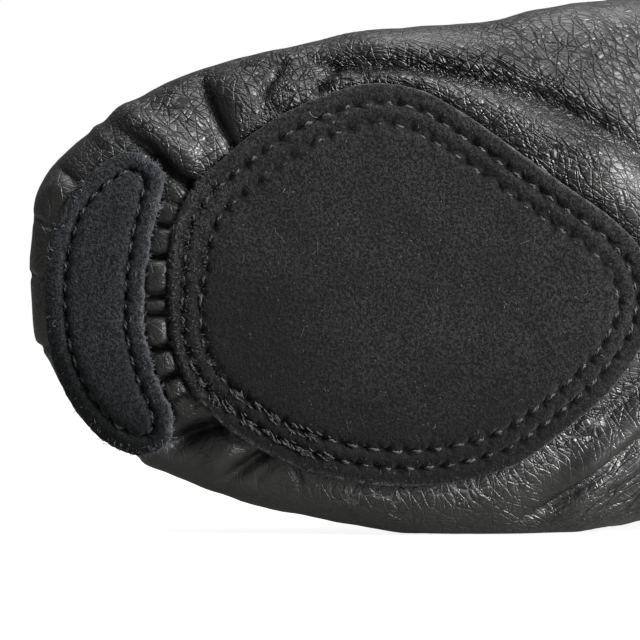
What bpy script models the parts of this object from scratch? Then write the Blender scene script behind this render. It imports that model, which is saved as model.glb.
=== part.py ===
"""Jazz boot, right foot: soft leather upper with an ankle shaft, and a split suede sole.

The boot lies on its outer side, sole facing -Y, toe at -X, collar at +Y.
Shoe stations used below, in millimetres:
  d  distance back from the toe tip, along the foot
  h  height above the tread plane of the sole, towards the collar
  z  height above the floor that the boot lies on, from the outer side of the foot to the inner side
"""

import math

import bmesh
import bpy
import numpy as np

MM = 0.001

# ---- named sizes, in millimetres --------------------------------------------------------------
LENGTH = 246.0          # toe tip to heel back
BALL_WIDTH = 94.4       # across the ball of the upper
INSTEP_HEIGHT = 72.0    # top of the instep above the tread
COLLAR_HEIGHT = 128.0   # back of the collar above the tread
WALL = 1.4              # soft leather with its lining
GAP = 0.3               # between pieces that meet
SOLE_THICK = 2.0        # suede forefoot and heel soles
TOE_PAD_THICK = 1.7     # suede crescent under the toe
INSOLE_THICK = 1.6
LASTING_MARGIN = 9.0    # upper leather turned in under a sole piece, under both stitch rows

BOTTOM_PLANE = SOLE_THICK + GAP   # outer face of the upper's underside
SOFT = 0.35                       # rounding where a flat spot meets the curved leather
AROUND = 40                       # points round a section of the upper
EDGE_POINTS = 56                  # points round the outline of a sole piece

# ---- sections of the upper ---------------------------------------------------------------------
# Stations are shares of LENGTH, heights are shares of INSTEP_HEIGHT, sides are shares of BALL_WIDTH.
# Each section is a plane through its bottom and top points, and the planes fan out from the foot into
# the shaft. "lateral" and "medial" are its sides at the belly, "belly" is how far up they lie, "ridge"
# is where the top line runs between them, and "low" and "high" say how square it is below and above the
# belly. "steps" is how finely the loft goes on to the next row.
SECTION_COLUMNS = ("name", "d_bottom", "h_bottom", "d_top", "h_top", "lateral", "medial",
                   "belly", "ridge", "low", "high", "steps")
SECTIONS = (
    ("toe tip",        0.0000, 0.155, 0.0000, 0.157, 0.535, 0.545, 0.50, 0.50, 2.0, 2.0, 1),
    ("toe front",      0.0053, 0.108, 0.0053, 0.224, 0.396, 0.665, 0.46, 0.50, 2.2, 2.0, 1),
    ("toe pad front",  0.0142, 0.082, 0.0142, 0.278, 0.350, 0.722, 0.45, 0.50, 2.4, 2.1, 1),
    ("toe curve",      0.0232, 0.070, 0.0232, 0.312, 0.297, 0.752, 0.44, 0.51, 2.6, 2.1, 1),
    ("toe shoulder",   0.0382, 0.060, 0.0382, 0.350, 0.240, 0.790, 0.43, 0.52, 2.8, 2.2, 2),
    ("toe pad back",   0.0700, 0.046, 0.0700, 0.405, 0.165, 0.854, 0.41, 0.53, 3.0, 2.2, 2),
    ("toe root",       0.1110, 0.036, 0.1110, 0.455, 0.110, 0.912, 0.38, 0.54, 3.1, 2.2, 3),
    ("forefoot",       0.1750, 0.030, 0.1750, 0.515, 0.054, 0.960, 0.34, 0.55, 3.2, 2.2, 3),
    ("inner ball",     0.2600, 0.028, 0.2600, 0.600, 0.010, 1.004, 0.31, 0.56, 3.2, 2.1, 3),
    ("outer ball",     0.3450, 0.028, 0.3450, 0.700, -0.018, 1.024, 0.30, 0.57, 3.1, 2.1, 2),
    ("sole end",       0.4150, 0.036, 0.4150, 0.800, -0.002, 1.062, 0.33, 0.57, 2.8, 2.1, 2),
    ("waist",          0.4900, 0.080, 0.4810, 0.910, 0.032, 1.086, 0.40, 0.56, 2.5, 2.1, 2),
    ("arch",           0.5900, 0.125, 0.5410, 1.020, 0.036, 1.036, 0.45, 0.55, 2.4, 2.1, 2),
    ("instep",         0.6900, 0.092, 0.5850, 1.135, 0.018, 0.924, 0.46, 0.54, 2.5, 2.1, 2),
    ("heel breast",    0.7800, 0.032, 0.6060, 1.250, 0.000, 0.812, 0.46, 0.52, 3.0, 2.1, 2),
    ("heel seat",      0.8650, 0.022, 0.6170, 1.345, -0.010, 0.746, 0.44, 0.52, 3.5, 2.1, 2),
    ("heel corner",    0.9480, 0.040, 0.6230, 1.425, -0.012, 0.722, 0.42, 0.52, 3.2, 2.1, 2),
    ("heel curve",     0.9860, 0.170, 0.6270, 1.495, -0.010, 0.718, 0.42, 0.52, 2.5, 2.1, 2),
    ("heel back",      1.0000, 0.430, 0.6300, 1.560, -0.006, 0.730, 0.44, 0.51, 2.1, 2.1, 2),
    ("ankle",          0.9930, 0.800, 0.6310, 1.620, -0.006, 0.744, 0.46, 0.51, 2.1, 2.1, 2),
    ("shaft",          0.9790, 1.230, 0.6290, 1.675, -0.008, 0.754, 0.48, 0.50, 2.1, 2.2, 2),
    ("collar",         0.9720, COLLAR_HEIGHT / INSTEP_HEIGHT, 0.6250, 1.722, -0.008, 0.750, 0.50, 0.50, 2.1, 2.2, 0),
)

# ---- outlines of the pieces under the foot -----------------------------------------------------
# A row for each station back from the toe: where the piece begins on the outer side and on the inner side.
OUTLINE_COLUMNS = ("d", "lateral", "medial")
FOREFOOT_SOLE = (
    (27.6, 32.5, 59.5),
    (31.0, 26.0, 65.4),
    (36.3, 20.7, 70.7),
    (44.6, 15.5, 77.0),
    (53.9, 11.9, 81.5),
    (63.5, 10.1, 84.0),
    (72.0, 9.7, 82.9),
    (80.5, 10.8, 78.5),
    (90.0, 13.7, 71.9),
    (99.5, 20.3, 65.1),
    (107.5, 27.5, 59.4),
    (113.1, 35.4, 53.6),
)
FOREFOOT_ENDS = {"front": (25.9, 45.9), "back": (115.8, 44.6)}      # d and z
HEEL_SOLE = (
    (188.5, 26.5, 43.5),
    (196.0, 18.0, 51.5),
    (206.0, 13.4, 55.2),
    (216.0, 12.6, 55.2),
    (225.5, 15.6, 52.0),
    (232.0, 22.4, 46.0),
)
HEEL_ENDS = {"front": (185.5, 34.8), "back": (235.2, 34.2)}
INSOLE = (
    (10.0, 34.0, 64.0),
    (20.0, 25.0, 74.0),
    (40.0, 16.5, 81.0),
    (64.0, 11.0, 85.5),
    (86.0, 10.5, 84.5),
    (110.0, 16.0, 77.5),
    (140.0, 19.5, 68.0),
    (170.0, 15.0, 61.5),
    (200.0, 11.5, 57.0),
    (222.0, 13.0, 53.5),
    (232.0, 20.5, 46.5),
)
INSOLE_ENDS = {"front": (6.5, 50.0), "back": (235.0, 33.5)}
# The crescent under the toe: a row for each height across it, with its front and back edges.
CRESCENT_COLUMNS = ("z", "front", "back")
TOE_PAD = (
    (17.6, 15.9, 25.6),
    (22.5, 10.4, 26.3),
    (30.0, 6.0, 23.4),
    (38.0, 3.9, 21.3),
    (46.0, 3.3, 21.2),
    (54.0, 4.1, 22.2),
    (61.0, 6.4, 23.7),
    (67.5, 11.6, 24.4),
)
TOE_PAD_ENDS = {"outer": (21.4, 15.9), "inner": (19.0, 71.4)}       # d and z

# ---- finish of each piece: colour and roughness ------------------------------------------------
FINISHES = {
    "upper": ((0.018, 0.018, 0.019), 0.42),
    "forefoot_sole": ((0.028, 0.028, 0.030), 0.95),
    "toe_pad": ((0.022, 0.025, 0.029), 0.95),
    "heel_sole": ((0.028, 0.028, 0.030), 0.95),
    "insole": ((0.045, 0.045, 0.047), 0.85),
}


# ---- curves ------------------------------------------------------------------------------------
def column(table, columns, name):
    return np.array([row[columns.index(name)] for row in table], float)


def monotone(knots, values, at):
    """A smooth curve through the values that never overshoots them."""
    gaps = np.diff(knots)
    slopes = np.diff(values) / gaps
    tangents = np.zeros(len(values))
    for i in range(1, len(values) - 1):
        if slopes[i - 1] * slopes[i] > 0:
            before, after = 2 * gaps[i] + gaps[i - 1], gaps[i] + 2 * gaps[i - 1]
            tangents[i] = (before + after) / (before / slopes[i - 1] + after / slopes[i])
    tangents[0], tangents[-1] = slopes[0], slopes[-1]
    i = np.clip(np.searchsorted(knots, at, side="right") - 1, 0, len(gaps) - 1)
    f = (at - knots[i]) / gaps[i]
    return ((1 + 2 * f) * (1 - f) ** 2 * values[i] + f * (1 - f) ** 2 * gaps[i] * tangents[i]
            + f * f * (3 - 2 * f) * values[i + 1] + f * f * (f - 1) * gaps[i] * tangents[i + 1])


def not_below(values, least):
    """The values, but flat at least where they would go below it, with a small rounding."""
    over = values - least
    return least + np.where(over > SOFT, over, np.where(over < -SOFT, 0.0, (over + SOFT) ** 2 / (4 * SOFT)))


def closed_curve(points, count):
    """count even points on a smooth closed curve through the points."""
    points = np.array(points, float)
    ahead = np.roll(points, -1, axis=0) - points
    chord = np.hypot(ahead[:, 0], ahead[:, 1])[:, None]
    last = np.roll(chord, 1, axis=0)
    slope = ahead / chord
    tangent = (slope * last + np.roll(slope, 1, axis=0) * chord) / (last + chord)
    f = np.linspace(0, 1, 24, endpoint=False)[None, :, None]
    p, q = points[:, None, :], np.roll(points, -1, axis=0)[:, None, :]
    m, n, c = tangent[:, None, :], np.roll(tangent, -1, axis=0)[:, None, :], chord[:, None, :]
    fine = ((1 + 2 * f) * (1 - f) ** 2 * p + f * (1 - f) ** 2 * c * m + f * f * (3 - 2 * f) * q + f * f * (f - 1) * c * n).reshape(-1, 2)
    fine = np.vstack([fine, fine[:1]])
    path = np.concatenate([[0.0], np.cumsum(np.hypot(*np.diff(fine, axis=0).T))])
    even = np.linspace(0, path[-1], count, endpoint=False)
    return np.column_stack([np.interp(even, path, fine[:, 0]), np.interp(even, path, fine[:, 1])])


def sole_outline(table, ends, count=EDGE_POINTS):
    """Outline of a sole piece in d and z: back along the outer side, then forward along the inner side."""
    outer = [(row[0], row[1]) for row in table]
    inner = [(row[0], row[2]) for row in reversed(table)]
    return closed_curve([ends["front"]] + outer + [ends["back"]] + inner, count)


def crescent_outline(table, ends, count=EDGE_POINTS):
    """Outline of the toe crescent in d and z: along its front edge to the inner side, then along its back edge."""
    front = [(row[1], row[0]) for row in table]
    back = [(row[2], row[0]) for row in reversed(table)]
    return closed_curve([ends["outer"]] + front + [ends["inner"]] + back, count)[::-1]


def inset(outline, distance):
    """The outline moved inward by a distance."""
    along = np.roll(outline, -1, axis=0) - np.roll(outline, 1, axis=0)
    along /= np.hypot(along[:, 0], along[:, 1])[:, None]
    side = np.column_stack([-along[:, 1], along[:, 0]])
    return outline + distance * side


# ---- the upper's own function ------------------------------------------------------------------
SCALES = {"d_bottom": LENGTH, "d_top": LENGTH, "h_bottom": INSTEP_HEIGHT, "h_top": INSTEP_HEIGHT,
          "lateral": BALL_WIDTH, "medial": BALL_WIDTH}
SIZED = {name: column(SECTIONS, SECTION_COLUMNS, name) * SCALES.get(name, 1.0) for name in SECTION_COLUMNS[1:]}
ALONG = np.concatenate([[0.0], np.cumsum(np.sqrt(sum(np.diff(SIZED[name]) ** 2 for name in SCALES)))])


def section_ring(t, count):
    """Rows of (d, h, z) round the section at t: from the bottom middle up the outer side, over the top and down the inner side."""
    size = {name: float(monotone(ALONG, SIZED[name], np.array([t]))[0]) for name in SECTION_COLUMNS[1:-1]}
    bottom = np.array([size["d_bottom"], size["h_bottom"]])
    rise = np.array([size["d_top"], size["h_top"]]) - bottom
    tall = math.hypot(rise[0], rise[1])
    middle = size["lateral"] + size["ridge"] * (size["medial"] - size["lateral"])
    turn = np.linspace(0, math.pi / 2, 241)
    ring = []
    for side, lower in (("lateral", True), ("lateral", False), ("medial", False), ("medial", True)):
        square = size["low"] if lower else size["high"]
        out, up = np.sin(turn) ** (2 / square), np.cos(turn) ** (2 / square)
        share = size["belly"] * (1 - up) if lower else size["belly"] + (1 - size["belly"]) * up
        across = (size[side] - middle) * out
        if (side == "lateral") != lower:                # this quarter runs from the belly to the middle
            share, across = share[::-1], across[::-1]
        path = np.concatenate([[0.0], np.cumsum(np.hypot(np.diff(share) * tall, np.diff(across)))])
        even = np.linspace(0, path[-1], count // 4, endpoint=False)
        ring.append(np.column_stack([np.interp(even, path, share), np.interp(even, path, across)]))
    share, across = np.concatenate(ring).T
    return np.column_stack([bottom[0] + share * rise[0],
                            not_below(bottom[1] + share * rise[1], BOTTOM_PLANE),
                            not_below(middle + across, 0.0)])


def loft_stations():
    """The places of the loft's sections, as finely spaced after each row as its steps say."""
    places = []
    for i, steps in enumerate(SIZED["steps"][:-1].astype(int)):
        places.extend(ALONG[i] + (ALONG[i + 1] - ALONG[i]) * k / steps for k in range(steps))
    return places[1:] + [ALONG[-1]]


def loft_faces(rings):
    """Triangles of the loft, facing out: a fan round the toe tip, which is point 0, and then band after band."""
    faces = [(0, 1 + (j + 1) % AROUND, 1 + j) for j in range(AROUND)]
    for k in range(rings - 1):
        for j in range(AROUND):
            a, b = 1 + k * AROUND + j, 1 + k * AROUND + (j + 1) % AROUND
            c, e = b + AROUND, a + AROUND
            faces += [(a, b, c), (a, c, e)]
    return faces


def point_normals(points, faces):
    faces = np.array(faces)
    a, b, c = points[faces[:, 0]], points[faces[:, 1]], points[faces[:, 2]]
    face_normals = np.cross(b - a, c - a)
    normals = np.zeros_like(points)
    for corner in range(3):
        np.add.at(normals, faces[:, corner], face_normals)
    return normals / np.linalg.norm(normals, axis=1)[:, None]


# ---- objects -----------------------------------------------------------------------------------
def in_metres(points):
    """Stations to the boot's own frame: middle of the foot at x = 0, middle of the height at y = 0."""
    return (np.array(points) - [LENGTH / 2, COLLAR_HEIGHT / 2, 0.0]) * MM


def add_object(name, points, faces, parent=None):
    mesh = bpy.data.meshes.new(name)
    mesh.from_pydata([tuple(p) for p in in_metres(points)], [], [tuple(f) for f in faces])
    mesh.validate()
    body = bpy.data.objects.new(name, mesh)
    bpy.context.scene.collection.objects.link(body)
    body.parent = parent
    return body


def add_prism(name, outline, low, high, parent):
    """A closed upright prism over an outline in d and z, from one height to another."""
    count = len(outline)
    points = [(d, h, z) for h in (low, high) for d, z in outline]
    faces = [tuple(range(count)), tuple(range(2 * count - 1, count - 1, -1))]
    faces += [(i, count + i, count + (i + 1) % count, (i + 1) % count) for i in range(count)]
    prism = add_object(name, points, faces, parent)
    shape = bmesh.new()
    shape.from_mesh(prism.data)
    bmesh.ops.recalc_face_normals(shape, faces=shape.faces)
    shape.to_mesh(prism.data)
    shape.free()
    prism.hide_render = True
    prism.display_type = "WIRE"
    return prism


def cut(body, operation, tool):
    change = body.modifiers.new(operation.title() + " " + tool.name, "BOOLEAN")
    change.operation = operation
    change.solver = "EXACT"
    change.object = tool


def finish(body):
    colour, roughness = FINISHES[body.name]
    material = bpy.data.materials.new(body.name)
    material.use_nodes = True
    shader = material.node_tree.nodes["Principled BSDF"]
    shader.inputs["Base Color"].default_value = colour + (1.0,)
    shader.inputs["Roughness"].default_value = roughness
    shader.inputs["Metallic"].default_value = 0.0
    body.data.materials.append(material)
    body.data.shade_smooth()
    body.data.set_sharp_from_angle(angle=math.radians(40))


def add_upper(points, normals, faces, rings, parent):
    """The leather wall: the loft, the same loft moved in by the wall, and the rim of the collar between them."""
    inner = points - normals * WALL
    inner[-AROUND:, 1] = points[-AROUND:, 1]            # the collar's rim is level across the wall
    shift = len(points)
    last = 1 + (rings - 1) * AROUND
    walls = list(faces) + [(a + shift, c + shift, b + shift) for a, b, c in faces]
    for j in range(AROUND):
        a, b = last + j, last + (j + 1) % AROUND
        walls += [(a, b, b + shift), (a, b + shift, a + shift)]
    return add_object("upper", np.vstack([points, inner]), walls, parent)


def add_layer(name, points, normals, rings, first, last, near, far, parent):
    """A closed layer over the underside between two offsets from the upper's outer face, far being the outer one."""
    half = AROUND // 4
    columns = [j % AROUND for j in range(-half, half + 1)]
    picked = np.array([[1 + k * AROUND + j for j in columns] for k in range(first, last + 1)])
    tall, wide = picked.shape
    outer = (points + normals * far)[picked].reshape(-1, 3)
    inner = (points + normals * near)[picked].reshape(-1, 3)
    shift = tall * wide
    faces = []
    for k in range(tall - 1):
        for j in range(wide - 1):
            a, b = k * wide + j, k * wide + j + 1
            c, e = b + wide, a + wide
            faces += [(a, b, c), (a, c, e), (a + shift, c + shift, b + shift), (a + shift, e + shift, c + shift)]
    rim = ([j for j in range(wide)] + [k * wide + wide - 1 for k in range(1, tall)]
           + [(tall - 1) * wide + j for j in range(wide - 2, -1, -1)] + [k * wide for k in range(tall - 2, 0, -1)])
    for a, b in zip(rim, rim[1:] + rim[:1]):
        faces += [(b, a, a + shift), (b, a + shift, b + shift)]
    return add_object(name, np.vstack([outer, inner]), faces, parent)


def main():
    for old in list(bpy.data.objects):
        bpy.data.objects.remove(old, do_unlink=True)

    boot = bpy.data.objects.new("jazz_boot", None)
    bpy.context.scene.collection.objects.link(boot)

    stations = loft_stations()
    loft = [section_ring(t, AROUND) for t in stations]
    rings = len(loft)
    tip = section_ring(0.0, AROUND).mean(axis=0)
    points = np.vstack([[tip]] + loft)
    faces = loft_faces(rings)
    normals = point_normals(points, faces)
    bottoms = [ring[0, 0] for ring in loft]

    def band(front, back):
        """First and last section whose bottom points span from front to back."""
        return (max(0, int(np.searchsorted(bottoms[:rings // 2 + 12], front)) - 1),
                int(np.searchsorted(bottoms[:rings // 2 + 12], back)) + 1)

    forefoot_edge = sole_outline(FOREFOOT_SOLE, FOREFOOT_ENDS)
    heel_edge = sole_outline(HEEL_SOLE, HEEL_ENDS)
    insole_edge = sole_outline(INSOLE, INSOLE_ENDS)
    toe_edge = crescent_outline(TOE_PAD, TOE_PAD_ENDS)

    upper = add_upper(points, normals, faces, rings, boot)
    for name, edge in (("forefoot_opening", forefoot_edge), ("heel_opening", heel_edge)):
        cut(upper, "DIFFERENCE", add_prism(name, inset(edge, LASTING_MARGIN), -6.0, 14.0, boot))
    finish(upper)

    pieces = (
        ("forefoot_sole", forefoot_edge, 20.0, 124.0, GAP, GAP + SOLE_THICK),
        ("toe_pad", toe_edge, 0.0, 34.0, GAP, GAP + TOE_PAD_THICK),
        ("heel_sole", heel_edge, 170.0, 243.0, GAP, GAP + SOLE_THICK),
        ("insole", insole_edge, 0.0, 243.0, -WALL - GAP - INSOLE_THICK, -WALL - GAP),
    )
    for name, edge, front, back, near, far in pieces:
        layer = add_layer(name, points, normals, rings, *band(front, back), near, far, boot)
        cut(layer, "INTERSECT", add_prism(name + "_outline", edge, -12.0, 22.0, boot))
        finish(layer)


main()
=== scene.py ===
"""Looks of the jazz boot: gathered and crinkled leather, stitched suede pads, fabric sock, plain studio.

Shoe stations, in millimetres, as in the part:
  d  distance back from the toe tip
  h  height above the tread plane, towards the collar
  z  height above the floor that the boot lies on, from the outer side of the foot to the inner side
"""

import math

import bpy
import numpy as np
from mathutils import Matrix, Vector, geometry, noise
from mathutils.bvhtree import BVHTree
from mathutils.kdtree import KDTree


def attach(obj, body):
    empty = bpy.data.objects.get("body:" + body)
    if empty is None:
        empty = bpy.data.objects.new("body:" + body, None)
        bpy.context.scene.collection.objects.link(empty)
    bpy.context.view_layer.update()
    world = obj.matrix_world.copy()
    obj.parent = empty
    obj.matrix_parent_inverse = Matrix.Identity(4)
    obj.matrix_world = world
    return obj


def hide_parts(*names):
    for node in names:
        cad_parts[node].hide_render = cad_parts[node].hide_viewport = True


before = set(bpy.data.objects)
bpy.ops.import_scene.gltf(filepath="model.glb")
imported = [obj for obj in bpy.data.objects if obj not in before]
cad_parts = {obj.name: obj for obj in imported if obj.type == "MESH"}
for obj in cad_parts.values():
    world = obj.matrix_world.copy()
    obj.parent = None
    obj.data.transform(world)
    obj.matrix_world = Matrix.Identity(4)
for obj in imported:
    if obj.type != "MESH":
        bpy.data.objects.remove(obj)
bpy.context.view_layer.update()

MM = 0.001
LENGTH = 246.0
BALL_WIDTH = 94.4
INSTEP_HEIGHT = 72.0
COLLAR_HEIGHT = 128.0
WALL = 1.4
GAP = 0.3
SOLE_THICK = 2.0
TOE_PAD_THICK = 1.7
INSOLE_THICK = 1.6
BOTTOM_PLANE = SOLE_THICK + GAP
SOFT = 0.35
FLOOR_GAP = 0.12          # lowest that the folded leather comes to the floor

# ---- sections of the upper, as in the part --------------------------------------------------------
SECTION_COLUMNS = ("name", "d_bottom", "h_bottom", "d_top", "h_top", "lateral", "medial",
                   "belly", "ridge", "low", "high")
SECTIONS = (
    ("toe tip",        0.0000, 0.155, 0.0000, 0.157, 0.535, 0.545, 0.50, 0.50, 2.0, 2.0),
    ("toe front",      0.0053, 0.108, 0.0053, 0.224, 0.396, 0.665, 0.46, 0.50, 2.2, 2.0),
    ("toe pad front",  0.0142, 0.082, 0.0142, 0.278, 0.350, 0.722, 0.45, 0.50, 2.4, 2.1),
    ("toe curve",      0.0232, 0.070, 0.0232, 0.312, 0.297, 0.752, 0.44, 0.51, 2.6, 2.1),
    ("toe shoulder",   0.0382, 0.060, 0.0382, 0.350, 0.240, 0.790, 0.43, 0.52, 2.8, 2.2),
    ("toe pad back",   0.0700, 0.046, 0.0700, 0.405, 0.165, 0.854, 0.41, 0.53, 3.0, 2.2),
    ("toe root",       0.1110, 0.036, 0.1110, 0.455, 0.110, 0.912, 0.38, 0.54, 3.1, 2.2),
    ("forefoot",       0.1750, 0.030, 0.1750, 0.515, 0.054, 0.960, 0.34, 0.55, 3.2, 2.2),
    ("inner ball",     0.2600, 0.028, 0.2600, 0.600, 0.010, 1.004, 0.31, 0.56, 3.2, 2.1),
    ("outer ball",     0.3450, 0.028, 0.3450, 0.700, -0.018, 1.024, 0.30, 0.57, 3.1, 2.1),
    ("sole end",       0.4150, 0.036, 0.4150, 0.800, -0.002, 1.062, 0.33, 0.57, 2.8, 2.1),
    ("waist",          0.4900, 0.080, 0.4810, 0.910, 0.032, 1.086, 0.40, 0.56, 2.5, 2.1),
    ("arch",           0.5900, 0.125, 0.5410, 1.020, 0.036, 1.036, 0.45, 0.55, 2.4, 2.1),
    ("instep",         0.6900, 0.092, 0.5850, 1.135, 0.018, 0.924, 0.46, 0.54, 2.5, 2.1),
    ("heel breast",    0.7800, 0.032, 0.6060, 1.250, 0.000, 0.812, 0.46, 0.52, 3.0, 2.1),
    ("heel seat",      0.8650, 0.022, 0.6170, 1.345, -0.010, 0.746, 0.44, 0.52, 3.5, 2.1),
    ("heel corner",    0.9480, 0.040, 0.6230, 1.425, -0.012, 0.722, 0.42, 0.52, 3.2, 2.1),
    ("heel curve",     0.9860, 0.170, 0.6270, 1.495, -0.010, 0.718, 0.42, 0.52, 2.5, 2.1),
    ("heel back",      1.0000, 0.430, 0.6300, 1.560, -0.006, 0.730, 0.44, 0.51, 2.1, 2.1),
    ("ankle",          0.9930, 0.800, 0.6310, 1.620, -0.006, 0.744, 0.46, 0.51, 2.1, 2.1),
    ("shaft",          0.9790, 1.230, 0.6290, 1.675, -0.008, 0.754, 0.48, 0.50, 2.1, 2.2),
    ("collar",         0.9720, COLLAR_HEIGHT / INSTEP_HEIGHT, 0.6250, 1.722, -0.008, 0.750, 0.50, 0.50, 2.1, 2.2),
)
FOREFOOT_SOLE = (     # d, lateral z, medial z
    (27.6, 32.5, 59.5), (31.0, 26.0, 65.4), (36.3, 20.7, 70.7), (44.6, 15.5, 77.0), (53.9, 11.9, 81.5),
    (63.5, 10.1, 84.0), (72.0, 9.7, 82.9), (80.5, 10.8, 78.5), (90.0, 13.7, 71.9), (99.5, 20.3, 65.1),
    (107.5, 27.5, 59.4), (113.1, 35.4, 53.6),
)
FOREFOOT_ENDS = {"front": (25.9, 45.9), "back": (115.8, 44.6)}
HEEL_SOLE = (
    (188.5, 26.5, 43.5), (196.0, 18.0, 51.5), (206.0, 13.4, 55.2), (216.0, 12.6, 55.2), (225.5, 15.6, 52.0),
    (232.0, 22.4, 46.0),
)
HEEL_ENDS = {"front": (185.5, 34.8), "back": (235.2, 34.2)}
INSOLE = (
    (10.0, 34.0, 64.0), (20.0, 25.0, 74.0), (40.0, 16.5, 81.0), (64.0, 11.0, 85.5), (86.0, 10.5, 84.5),
    (110.0, 16.0, 77.5), (140.0, 19.5, 68.0), (170.0, 15.0, 61.5), (200.0, 11.5, 57.0), (222.0, 13.0, 53.5),
    (232.0, 20.5, 46.5),
)
INSOLE_ENDS = {"front": (6.5, 50.0), "back": (235.0, 33.5)}
TOE_PAD = (           # z, front d, back d
    (17.6, 15.9, 25.6), (22.5, 10.4, 26.3), (30.0, 6.0, 23.4), (38.0, 3.9, 21.3), (46.0, 3.3, 21.2),
    (54.0, 4.1, 22.2), (61.0, 6.4, 23.7), (67.5, 11.6, 24.4),
)
TOE_PAD_ENDS = {"outer": (21.4, 15.9), "inner": (19.0, 71.4)}

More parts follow.
